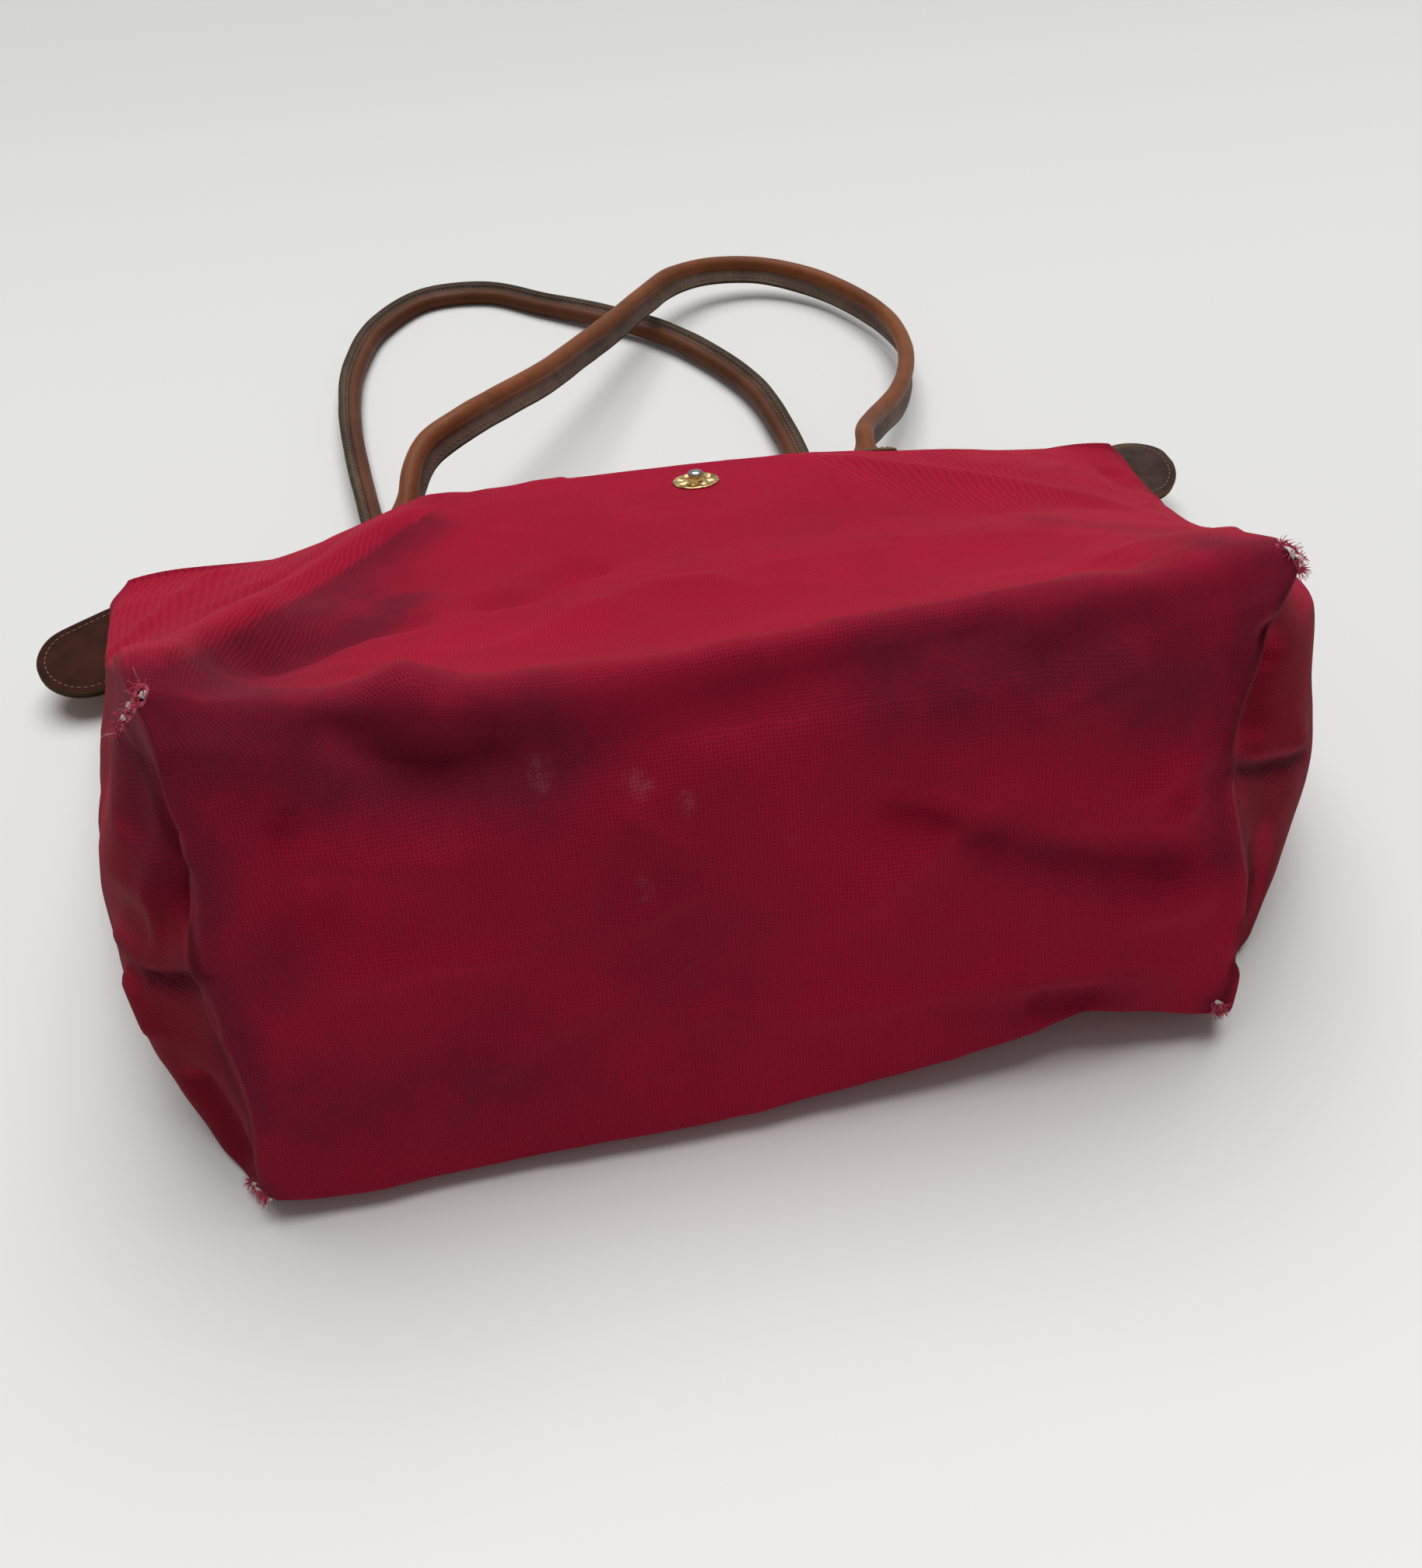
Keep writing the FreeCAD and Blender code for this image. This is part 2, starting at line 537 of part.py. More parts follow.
def build_flap(parts, outer):
    anchor_end = FLAP_PIVOT_Y - FLAP_OFFSET - FLAP_THICKNESS / 2 - FLAP_ANCHOR_GAP
    anchor = block((STUD_X - FLAP_WIDTH / 2, STUD_X + FLAP_WIDTH / 2),
                   (anchor_end - FLAP_ANCHOR_LENGTH, anchor_end),
                   (TUCK_HEIGHT - FLAP_THICKNESS, TUCK_HEIGHT))
    parts["flap_anchor"] = anchor.cut(outer)
    leaf_length = FLAP_REACH - 2 * FLAP_JOINT_GAP
    leaf = Part.makeBox(FLAP_WIDTH, leaf_length, FLAP_THICKNESS, Vector(-FLAP_WIDTH / 2, 0, 0))
    parts["flap_leaf"] = laid_flap(leaf, FLAP_PIVOT_Y - FLAP_JOINT_GAP)
    tip_length = FLAP_TO_STUD + FLAP_PAST_STUD - FLAP_JOINT_GAP
    tip = rounded_slab(FLAP_WIDTH / 2, tip_length, FLAP_THICKNESS, FLAP_TIP_RADIUS)
    fold_y = FLAP_PIVOT_Y - FLAP_REACH
    snap_y = fold_y - FLAP_TO_STUD
    bore = CAP_RADIUS + SNAP_BORE_CLEARANCE
    hole = Part.makeCylinder(bore, 4 * FLAP_THICKNESS, at_origin(STUD_X, snap_y, -FLAP_THICKNESS))
    parts["flap_tip"] = laid_flap(tip, fold_y - FLAP_JOINT_GAP).cut(hole)
    socket = Part.makeCylinder(SOCKET_RADIUS, SOCKET_THICKNESS, at_origin(STUD_X, snap_y, 0))
    parts["snap_socket"] = socket.cut(hole)
    build_snap_cap(parts, snap_y, bore)


def build_snap_cap(parts, snap_y, bore):
    foot = at_origin(STUD_X, snap_y, FLAP_LOW + FLAP_THICKNESS)
    dome = Part.makeCylinder(SOCKET_RADIUS, SNAP_CAP_HEIGHT, foot)
    middle_z = foot.z + SNAP_CAP_HEIGHT / 2
    rim = [edge for edge in dome.Edges if min(v.Point.z for v in edge.Vertexes) > middle_z]
    dome = dome.makeFillet(SNAP_CAP_HEIGHT * 0.6, rim)
    hollow = Part.makeCylinder(bore, SNAP_CAP_HEIGHT - SNAP_CAP_WALL, foot)
    parts["snap_cap"] = dome.cut(hollow)


# Handles

def rounded_path(points):
    """Straight runs joined by tangent arcs, each as large as its two runs allow."""
    edges = []
    start = points[0]
    for before, corner, after in zip(points, points[1:], points[2:]):
        back = before - corner
        ahead = after - corner
        run = 0.45 * min(back.Length, ahead.Length)
        back.normalize()
        ahead.normalize()
        entry = corner + back * run
        leave = corner + ahead * run
        half_turn = (math.pi - back.getAngle(ahead)) / 2
        radius = run / math.tan(half_turn)
        bisector = (back + ahead).normalize()
        middle = corner + bisector * (radius / math.cos(half_turn) - radius)
        edges.append(Part.LineSegment(start, entry).toShape())
        edges.append(Part.Arc(entry, middle, leave).toShape())
        start = leave
    edges.append(Part.LineSegment(start, points[-1]).toShape())
    return Part.Wire(edges)


def sweep(path, outside, bore):
    """A round tube or rod along a path."""
    start = path.Edges[0].Vertexes[0].Point
    direction = path.Edges[0].Vertexes[1].Point - start
    profile = Part.Face(Part.Wire([Part.Circle(start, direction, outside).toShape()]))
    if bore:
        profile = profile.cut(Part.Face(Part.Wire([Part.Circle(start, direction, bore).toShape()])))
        profile = profile.Faces[0]
    return path.makePipe(profile)


def half_ball(radius, end, into):
    """The rounded end of a handle, whose flat side meets the handle's own end."""
    return Part.makeSphere(radius, end, into, -90, 0, 360)


def build_handle(parts, name, skins, left_x, right_x, height, route):
    pivot_y = BAG_LENGTH + HANDLE_PIVOT_SETBACK
    ends = [at_origin(left_x, pivot_y, height), at_origin(right_x, pivot_y, height)]
    points = [at_origin(x, BAG_LENGTH + y, z + HANDLE_RADIUS) for x, y, z in route]
    path = rounded_path([ends[0]] + points + [ends[1]])
    leather = sweep(path, HANDLE_RADIUS, CORE_RADIUS)
    core = sweep(path, CORE_RADIUS, 0)
    for end, beside in ((ends[0], points[0]), (ends[1], points[-1])):
        into = beside - end
        tip = half_ball(CORE_RADIUS, end, into)
        leather = leather.fuse(half_ball(HANDLE_RADIUS, end, into).cut(tip))
        core = core.fuse(tip)
    parts["%s_handle_leather" % name] = leather
    parts["%s_handle_core" % name] = core
    for side, end in (("left", ends[0]), ("right", ends[1])):
        parts["%s_handle_%s_anchor" % (name, side)] = handle_anchor(end, skins)


def handle_anchor(end, skins):
    """The sewn leather end of a handle: a skin on the canvas and a flat tongue out of it."""
    outer, cover = skins
    side_x = (end.x - ANCHOR_WIDTH / 2, end.x + ANCHOR_WIDTH / 2)
    plate_z = (end.z - ANCHOR_HALF_HEIGHT, end.z + ANCHOR_HALF_HEIGHT)
    face = BAG_LENGTH + ANCHOR_THICKNESS
    plate = cover.common(block(side_x, (BAG_LENGTH - ANCHOR_REACH, face), plate_z))
    tongue = block((end.x - TONGUE_WIDTH / 2, end.x + TONGUE_WIDTH / 2),
                   (BAG_LENGTH - ANCHOR_REACH, BAG_LENGTH + HANDLE_PIVOT_SETBACK),
                   (end.z - TONGUE_THICKNESS / 2, end.z + TONGUE_THICKNESS / 2))
    hollow = Part.makeSphere(HANDLE_RADIUS + PIVOT_CLEARANCE, end)
    anchor = plate.fuse(tongue).cut(outer).cut(hollow)
    return max(anchor.Solids, key=lambda solid: solid.Volume)


# Leather tabs

def build_tabs(parts, outer):
    left_foot = at_origin(MOUTH_ENDS[0] + LEFT_TAB_SINK, BAG_LENGTH - LEFT_TAB_SETBACK, LEFT_TAB_HEIGHT)
    right_foot = at_origin(MOUTH_ENDS[1] - RIGHT_TAB_SINK, BAG_LENGTH - RIGHT_TAB_SETBACK, RIGHT_TAB_HEIGHT)
    plans = (("left", -1, left_foot, LEFT_TAB_TURN), ("right", 1, right_foot, RIGHT_TAB_TURN))
    past_face = block((MOUTH_ENDS[0] - TAB_END_GAP, MOUTH_ENDS[1] + TAB_END_GAP),
                      (BAG_LENGTH, BAG_LENGTH + TAB_WIDTH), (0, CREST_HEIGHT))
    for name, sign, foot, turn in plans:
        for layer, low in (("upper", 0.0), ("lower", -TAB_THICKNESS)):
            tab = rounded_slab(TAB_WIDTH / 2, TAB_LENGTH, TAB_THICKNESS, TAB_WIDTH / 2 - 0.5)
            tab.translate(Vector(0, 0, low))
            tab.rotate(Vector(0, 0, 0), Vector(0, 0, 1), -90 * sign)
            tab.rotate(Vector(0, 0, 0), Vector(1, 0, 0), TAB_TILT)
            tab.rotate(Vector(0, 0, 0), Vector(0, 0, 1), turn)
            tab.translate(foot)
            parts["%s_tab_%s" % (name, layer)] = outermost(tab.cut(outer).cut(past_face), sign)


def outermost(shape, sign):
    """The piece of a cut shape that lies furthest out on its side."""
    return max(shape.Solids, key=lambda solid: sign * solid.CenterOfMass.x)


def build():
    parts = {}
    outer, inner = build_body(parts)
    skins = (outer, skin_solid(skin_loops(-ANCHOR_THICKNESS)))
    build_zip(parts, inner)
    build_stud(parts, inner)
    build_flap(parts, outer)
    build_handle(parts, "front", skins, FRONT_LEFT_X, FRONT_RIGHT_X, FRONT_PIVOT_HEIGHT, FRONT_ROUTE)
    build_handle(parts, "rear", skins, REAR_LEFT_X, REAR_RIGHT_X, REAR_PIVOT_HEIGHT, REAR_ROUTE)
    build_tabs(parts, outer)
    return parts


def export(parts):
    os.makedirs("parts", exist_ok=True)
    for name, shape in parts.items():
        shape.exportStep(os.path.join("parts", name + ".step"))
        box = shape.BoundBox
        print("%-28s solids %d valid %s volume %9.1f  x %7.1f %7.1f  y %7.1f %7.1f  z %6.1f %6.1f" % (
            name, len(shape.Solids), shape.isValid(), shape.Volume,
            box.XMin, box.XMax, box.YMin, box.YMax, box.ZMin, box.ZMax))
    print("flap reach %.2f, turn %.2f, second turn %.2f, to stud %.2f" % (
        FLAP_REACH, FLAP_TURN, FLAP_SECOND_TURN, FLAP_TO_STUD))


export(build())
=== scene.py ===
import math
import random

import bmesh
import bpy
import numpy as np
from bpy.props import FloatProperty, FloatVectorProperty, IntProperty
from mathutils import Matrix, Vector, noise
from mathutils.bvhtree import BVHTree


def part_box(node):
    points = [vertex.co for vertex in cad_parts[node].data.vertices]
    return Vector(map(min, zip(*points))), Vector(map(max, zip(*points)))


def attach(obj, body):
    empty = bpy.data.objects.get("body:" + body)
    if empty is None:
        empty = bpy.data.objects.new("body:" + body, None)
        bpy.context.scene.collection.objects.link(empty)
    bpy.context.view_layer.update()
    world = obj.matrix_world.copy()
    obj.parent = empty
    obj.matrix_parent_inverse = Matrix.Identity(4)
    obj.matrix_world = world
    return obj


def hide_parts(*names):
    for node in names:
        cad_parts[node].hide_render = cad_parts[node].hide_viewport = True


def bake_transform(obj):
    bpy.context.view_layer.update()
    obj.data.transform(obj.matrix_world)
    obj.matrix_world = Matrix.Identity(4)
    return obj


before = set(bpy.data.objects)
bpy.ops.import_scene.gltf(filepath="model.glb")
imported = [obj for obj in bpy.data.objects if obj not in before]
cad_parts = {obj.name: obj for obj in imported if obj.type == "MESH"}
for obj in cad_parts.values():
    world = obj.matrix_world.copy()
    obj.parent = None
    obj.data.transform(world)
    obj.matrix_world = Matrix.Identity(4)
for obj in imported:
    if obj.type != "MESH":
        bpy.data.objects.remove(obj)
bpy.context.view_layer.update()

bl_info = {
    "name": "Folding Tote",
    "version": (1, 0, 0),
    "blender": (4, 5, 0),
    "location": "3D View > Sidebar > Tote",
    "description": "Builds a soft canvas tote with leather handles, zip, stud and flap",
    "category": "Add Mesh",
}

MM = 0.001

# The bag's cross loops, as in the part's source: millimetres from the base panel's lower edge
BASE_HALF = 155.0
BASE_HEIGHT = 166.0
BASE_LEAN = 0.26
BAG_LENGTH = 290.0
BACK_EDGE = 130.0
WALL = 1.2
MOUTH_LOW = 19.0
MOUTH_HIGH = 37.0
MOUTH_LEFT = 57.0         # from the base's left end out to the mouth's
MOUTH_RIGHT = 75.0
MOUTH_ENDS = (-BASE_HALF - MOUTH_LEFT, BASE_HALF + MOUTH_RIGHT)
SLOT_HALF = 5.0
ZIP_Z = (MOUTH_LOW + MOUTH_HIGH) / 2
CREST_HEIGHT = 68.0
STUD_X = 28.0
STUD_BACK = 40.0
TUCK_HEIGHT = 6.0
TUCK_STEPS = (77.0, 50.0, -50.0, -77.0)
LEFT_FOLDS = (0.28, 0.53, 0.745)
RIGHT_FOLDS = (0.355, 0.60, 0.78)
FLAT = (0, 0, 0, 0, 0, 0)
LIFTED = (0, 0, TUCK_HEIGHT, TUCK_HEIGHT, 0, 0)
ROOFED = (1.2, 1.2, TUCK_HEIGHT + 1.2, TUCK_HEIGHT + 1.2, 1.2, 1.2)


def station(y, lean, tall, left, right, middle, under):
    """One cross loop: heights of its sides and middle are shares of tall."""
    return (y, lean, scaled_side(left, tall), scaled_side(right, tall), middle * tall, under)


def scaled_side(at, tall):
    height, steps, wing_x, crease_x, wing_height = at
    return (height * tall, steps, wing_x, crease_x, wing_height * tall)


def out(start, *swells):
    return [start + swell for swell in swells]


# Partly the rounded result of a least squares fit to the bag's outline in the photograph
CROSS_LOOPS = [
    station(-6, BASE_LEAN, BASE_HEIGHT, (0.965, (-1, -3, -3, -9, -8), 120, 80, 0.93),
            (0.92, (0, -2, -12, -11, -3), 120, 80, 0.905), 0.86, (10, 8, 8, 17, 22, 11)),
    station(2, BASE_LEAN, BASE_HEIGHT, (1.02, (5, -1, 0, -7, -5), 136, 115, 1.01),
            (0.968, (2, 1, -10, -9, 5), 138, 115, 0.99), 0.985, (5, 1, 0, 11, 16, 6)),
    station(31.9, BASE_LEAN, BASE_HEIGHT, (0.95, (21, 29, 18, 15, 3), 140, 120, 0.928),
            (0.90, (25, 36, 33, 27, 5), 142, 118, 0.905), 0.88, (1, 0, 0, 3, 5, 2)),
    station(80.04, 0.20, BASE_HEIGHT, (0.777, (31, 44, 40, 27, 15), 153, 126, 0.79),
            (0.74, (41, 66, 59, 56, 26), 150, 122, 0.76), 0.745, FLAT),
    station(150, 0.09, BASE_HEIGHT, (0.566, (42, 58, 49, 42, 36), 151, 113, 0.62),
            (0.506, (57, 75, 69, 68, 48), 155, 106, 0.585), 0.61, FLAT),
    station(170, 0.06, BASE_HEIGHT, (0.482, (47, 61, 55, 48, 41), 150, 110, 0.554),
            (0.455, (62, 78, 74, 66, 51), 160, 102, 0.525), 0.56, LIFTED),
    station(277, -0.10, CREST_HEIGHT, (0.575, out(MOUTH_LEFT, 6, 11, 9, 8, 2), 152, 85, 0.68),
            (0.53, out(MOUTH_RIGHT, 5, 11, 12, 8, -1), 171, 74, 0.78), 1.0, LIFTED),
    station(288.5, -0.07, CREST_HEIGHT, (0.55, out(MOUTH_LEFT, 4, 9, 12, 10, -1), 152, 88, 0.58),
            (0.53, out(MOUTH_RIGHT, 4, 9, 9, 8, -2), 170, 76, 0.66), 0.84, ROOFED),
    station(BAG_LENGTH, 0, MOUTH_HIGH, (1.0, out(MOUTH_LEFT, 0, 3, 4, 3, 0), 150, 88, 1.0),
            (1.0, out(MOUTH_RIGHT, 0, 3, 4, 3, 0), 165, 76, 1.0), 1.0, (MOUTH_LOW,) * 6),
]

# Handle centre lines, as in the part's source
HANDLE_RADIUS = 5.75
FRONT_PIVOT_Z = 49.0
REAR_PIVOT_Z = 10.0
FRONT_ENDS = (-93.0, 116.0)
REAR_ENDS = (-107.0, 98.0)
FRONT_ROUTE = [
    (-88, 26, 49), (-78, 38, 53), (-62, 53, 54), (-43, 75, 50), (-21, 102, 44), (2, 139, 36),
    (23, 173, 29), (47, 213, 22), (69, 243, 17), (95, 259, 12), (122, 259, 9), (148, 243, 7),
    (168, 212, 7), (178, 178, 8), (177, 144, 10), (168, 112, 14), (153, 81, 19), (134, 53, 26),
    (121, 28, 35),
]
REAR_ROUTE = [
    (-109, 32, 5), (-113, 62, 4), (-118, 110, 3), (-121, 165, 2), (-117, 218, 1), (-101, 263, 0.7),
    (-72, 291, 0), (-38, 290, 0), (-5, 265, 0.7), (26, 240, 2), (54, 214, 2),
    (78, 177, 2), (93, 138, 2.5), (98, 95, 3), (98, 45, 4),
]

# Camera, solved by least squares from seven points read in the photograph and assumed sizes, then rounded
PHOTO_WIDTH = 1828
PHOTO_HEIGHT = 2016
CAMERA_PLACE = Vector((-0.057, -0.370, 0.400))
CAMERA_PITCH = math.radians(45.3)
CAMERA_YAW = math.radians(10.0)
CAMERA_ROLL = math.radians(-2.2)
SENSOR = 36.0
LENS = 32.68

# Folds seen on the cloth: width and rise in millimetres, and pixels of the photograph
FOLDS = {
    "front crease": (9, 8.0, [(175, 893), (300, 820), (400, 765), (500, 700), (548, 660)], 30),
    "second crease": (5, 3.1, [(140, 843), (217, 783), (270, 747), (305, 735)]),
    "valley between creases": (9, -3.2, [(190, 850), (270, 800), (370, 745), (440, 705)]),
    "valley under front crease": (11, -6.8, [(320, 848), (363, 833), (397, 817), (477, 797), (563, 780)]),
    "face under front crease": (12, -3.5, [(215, 905), (330, 850), (430, 800), (520, 765)]),
    "right mouth hollow": (8, -4.0, [(1418, 600), (1440, 610), (1452, 628)]),
    "long hollow": (9, -5.6, [(600, 772), (640, 765), (690, 757), (743, 730), (785, 722)]),
    "edge swell": (11, 4.1, [(610, 870), (717, 810), (850, 757), (950, 750)]),
    "oval swell": (10, 6.2, [(423, 870), (517, 883), (557, 930), (603, 910)]),
    "valley under oval": (9, -5.6, [(400, 905), (463, 950), (517, 977), (617, 963), (660, 943)]),
    "small hollow": (9, -5.1, [(343, 1067), (390, 1067)]),
    "left swell": (14, 5.1, [(350, 1110), (480, 1112), (617, 1100)]),
    "left hollow": (14, -5.1, [(350, 1165), (450, 1160)]),
    "low left ridge": (5, 3.1, [(400, 1270), (483, 1250), (550, 1233), (630, 1230), (690, 1210)]),
    "lower left ridge": (5, 3.1, [(565, 1450), (617, 1383), (683, 1337), (750, 1297), (825, 1275)]),
    "short ridge": (5, 3.1, [(883, 1303), (950, 1290)]),
    "middle ridge": (5, 3.1, [(800, 1040), (850, 1077), (905, 1105)]),
    "middle ridge back": (5, 3.1, [(903, 1135), (850, 1163), (800, 1192)]),
    "right crease": (5, 3.1, [(1050, 585), (1130, 600), (1223, 613), (1277, 620), (1383, 643), (1495, 672)]),
    "rear crease": (4, 2.5, [(1357, 595), (1417, 620), (1470, 650), (1497, 673)]),
    "hollow along edge": (9, -3.0, [(983, 817), (1117, 790), (1223, 770), (1317, 750), (1397, 723),
                                    (1483, 723)]),
    "right hollow": (10, -3.0, [(1315, 885), (1383, 837), (1450, 810), (1510, 803)]),
    "right swell": (10, 4.0, [(1317, 935), (1417, 880), (1483, 850)]),
    "pinch ridge": (5, 3.1, [(1560, 970), (1517, 983), (1483, 1003), (1460, 1025)]),
    "bent ridge": (6, 3.7, [(1245, 977), (1199, 1007), (1237, 1017), (1280, 1043)]),
    "cross hollow": (9, -5.6, [(1097, 1040), (1160, 1045), (1223, 1050), (1277, 1077), (1370, 1105),
                               (1577, 1112)]),
    "ridge by hollow": (7, 4.3, [(1100, 1160), (1150, 1130), (1210, 1077), (1245, 1070)]),
    "right knob": (8, 5.0, [(1508, 1030), (1538, 1030)]),
    "right low ridge": (6, 3.7, [(1425, 1180), (1503, 1163), (1560, 1140)]),
    "long low ridge": (6, 3.7, [(975, 1305), (1083, 1297), (1170, 1277), (1263, 1263), (1383, 1250),
                                (1520, 1243)]),
    "right low hollow": (7, -4.3, [(1317, 1287), (1417, 1285)]),
    "left seam": (2.4, -5.4, [(193, 1251), (225, 1254), (264, 1257)]),
    "left overhang": (7, 4.3, [(155, 1190), (193, 1222), (264, 1232)]),
    "under left overhang": (4, -2.5, [(150, 1212), (175, 1240), (193, 1262)]),
    "left gusset strip": (6, 3.4, [(165, 1245), (185, 1290), (203, 1335)]),
    "left gusset hollow": (7, -7.0, [(192, 985), (215, 1070), (234, 1120), (236, 1180)]),
    "left gusset swell": (13, 5.1, [(150, 1100), (185, 1130), (215, 1150)]),
    "left low hollow": (9, -5.4, [(240, 1375), (283, 1440), (318, 1505)]),
    "left base edge": (2.4, 1.5, [(177, 935), (217, 1050), (252, 1103), (254, 1190), (270, 1283),
                                  (303, 1363),
                                  (332, 1430), (337, 1530)]),
    "right seam": (2.4, -5.0, [(1583, 990), (1625, 985), (1674, 972)]),
    "right overhang": (6, 3.7, [(1592, 965), (1632, 960), (1672, 950)]),
    "right gusset hollow": (8, -4.3, [(1630, 828), (1630, 862)]),
    "right gusset edge": (6, -3.7, [(1640, 790), (1614, 880), (1598, 950)]),
    "right low edge": (6, -3.7, [(1612, 1060), (1622, 1120), (1607, 1190), (1590, 1250)]),
    "right base edge": (2.4, 1.5, [(1645, 743), (1612, 817), (1586, 897), (1570, 963), (1575, 1010),
                                   (1596, 1125),
                                   (1585, 1200), (1565, 1285)]),
    "hollow under edge": (15, -8.0, [(430, 985), (560, 995), (680, 985), (787, 955), (905, 915), (1023, 880),
                                     (1140, 850), (1260, 820),
                                     (1380, 800)]),
    "valley over rear crease": (6, -2.2, [(1375, 602), (1430, 625), (1470, 648)]),
    "left gusset shade": (10, -5.0, [(165, 960), (172, 1030), (180, 1090)]),
}

# Soiled and shaded, rubbed and torn places: radius in millimetres, strength, and pixels of the photograph
# Besides dirt, these paint shade: the dark under the front crease, below the base's upper edge, on the left
# shoulder and on the left gusset
SOILED_AND_SHADED = {
    "under front crease": (32, 1.0, [(176, 893), (300, 820), (420, 753)], 2.2),
    "by front crease": (17, 0.9, [(400, 765), (500, 700), (530, 675)], 2.2),
    "left shoulder": (15, 1.0, [(295, 866), (394, 846), (472, 807), (512, 777)]),
    "left gusset": (15, 0.9, [(165, 965), (182, 1040), (195, 1090)]),
    "under edge left": (20, 0.8, [(430, 965), (560, 975), (680, 975)]),
    "under edge right": (18, 0.6, [(1160, 860), (1300, 850), (1420, 860), (1520, 900)]),
    "left crease": (16, 0.7, [(190, 925), (260, 890), (340, 850), (430, 800)]),
    "left base edge": (9, 0.7, [(185, 950), (225, 1050), (258, 1120), (262, 1200), (280, 1290), (315, 1370),
                                (340, 1440)]),
    "left patch": (14, 0.55, [(330, 1230), (345, 1260)]),
    "low left": (26, 0.5, [(380, 1420), (520, 1400), (640, 1380)]),
    "right top edge": (10, 0.5, [(1330, 665), (1450, 680), (1560, 695), (1640, 712)]),
    "right base edge": (10, 0.6, [(1625, 770), (1600, 850), (1575, 930), (1565, 1000), (1575, 1100)]),
    "top right": (20, 0.30, [(1380, 760), (1450, 780), (1520, 790)]),
    "middle": (30, 0.35, [(800, 1180), (900, 1230)]),
    "cross hollow": (14, 0.5, [(1280, 1085), (1370, 1110), (1500, 1112)]),
    "low right": (18, 0.4, [(1330, 1285), (1440, 1280)]),
    "left seam": (5, 0.8, [(190, 1250), (262, 1258)]),
    "right seam": (5, 0.8, [(1583, 990), (1674, 972)]),
}
# Painted shade: thin dark lines where the deep folds beside the seams and the base's side edges fall into shadow;
# width in millimetres, strength, and pixels of the photograph
CREASE_SHADE = {
    "beside left base edge": (2.2, 0.9, [(176, 955), (208, 1050), (240, 1108), (243, 1190), (260, 1290),
                                         (292, 1372),
                                         (320, 1440), (328, 1510)]),
    "left seam": (1.8, 1.0, [(193, 1251), (225, 1255), (264, 1258)]),
    "left overhang": (2.2, 0.8, [(150, 1214), (175, 1242), (193, 1256)]),
    "right seam": (1.8, 1.0, [(1583, 990), (1625, 985), (1674, 972)]),
    "beside right base edge": (2.2, 0.9, [(1654, 765), (1624, 822), (1598, 900), (1582, 960), (1588, 1010),
                                          (1608, 1125), (1597, 1200), (1576, 1280)]),
}
RUBBED = {
    "one": (7, 0.8, [(690, 975), (697, 1010)]),
    "two": (6, 1.0, [(812, 1005), (828, 1012)]),
    "three": (5, 0.9, [(880, 1022), (884, 1042)]),
    "four": (6, 0.8, [(826, 1130), (832, 1150)]),
    "five": (9, 0.6, [(855, 1235), (900, 1262)]),
    "six": (5, 0.7, [(1010, 1078), (1022, 1084)]),
    "seven": (8, 0.5, [(757, 880), (775, 885)]),
}
TORN = {
    "left_top": (1.1, [(182, 887), (176, 905), (163, 917), (152, 935)]),
    "right_top": (1.2, [(1648, 702), (1664, 712), (1676, 730)]),
    "left_low": (1.2, [(327, 1520), (338, 1545)]),
    "right_low": (1.2, [(1563, 1292), (1568, 1296)]),
}


# Settings

class CanvasSettings(bpy.types.PropertyGroup):
    colour: FloatVectorProperty(name="Cloth colour", description="Colour of the clean canvas",
                                subtype="COLOR",
                                size=3, default=(0.430, 0.0090, 0.0390), min=0, max=1)
    # The soiled colour paints shade on the canvas as well as dirt
    deep: FloatVectorProperty(name="Soiled colour", description="Colour of the soiled canvas",
                              subtype="COLOR",
                              size=3, default=(0.150, 0.010, 0.026), min=0, max=1)
    thread: FloatProperty(name="Thread spacing", description="Distance between neighbouring threads",
                          default=0.00112, min=0.0002, max=0.002, unit="LENGTH")
    cell: IntProperty(name="Fineness", description="Mesh cells per 12 mm of cloth", default=6, min=2, max=8)
    wall: FloatProperty(name="Thickness", description="Canvas with its coating", default=0.0012,
                        min=0.0005, max=0.003, unit="LENGTH")
    ripple: FloatProperty(name="Ripple", description="Height of the cloth's small waves", default=0.0016,
                          min=0, max=0.005, unit="LENGTH")


class LeatherSettings(bpy.types.PropertyGroup):
    colour: FloatVectorProperty(name="Leather colour", description="Colour of the smooth leather",
                                subtype="COLOR",
                                size=3, default=(0.230, 0.066, 0.019), min=0, max=1)
    edge: FloatVectorProperty(name="Edge colour", description="Colour of the cut leather edge",
                              subtype="COLOR",
                              size=3, default=(0.046, 0.034, 0.012), min=0, max=1)
    lip: FloatVectorProperty(name="Lip colour", description="Colour of the handled, flat sewn leather",
                             subtype="COLOR", size=3, default=(0.170, 0.115, 0.085), min=0, max=1)
    suede: FloatVectorProperty(name="Tab colour", description="Colour of the tabs' rough face",
                               subtype="COLOR",
                               size=3, default=(0.040, 0.0115, 0.0065), min=0, max=1)
    thread: FloatVectorProperty(name="Thread colour", description="Colour of the stitching", subtype="COLOR",
                                size=3, default=(0.180, 0.100, 0.055), min=0, max=1)
    stitch: FloatProperty(name="Stitch length", description="Length of one stitch", default=0.0030,
                          min=0.001, max=0.006, unit="LENGTH")


class MetalSettings(bpy.types.PropertyGroup):
    gilt: FloatVectorProperty(name="Gilt colour", description="Colour of the gilt stud and zip",
                              subtype="COLOR",
                              size=3, default=(0.80, 0.58, 0.24), min=0, max=1)
    dark: FloatVectorProperty(name="Cap colour", description="Colour of the stud's worn cap",
                              subtype="COLOR",
                              size=3, default=(0.42, 0.40, 0.41), min=0, max=1)


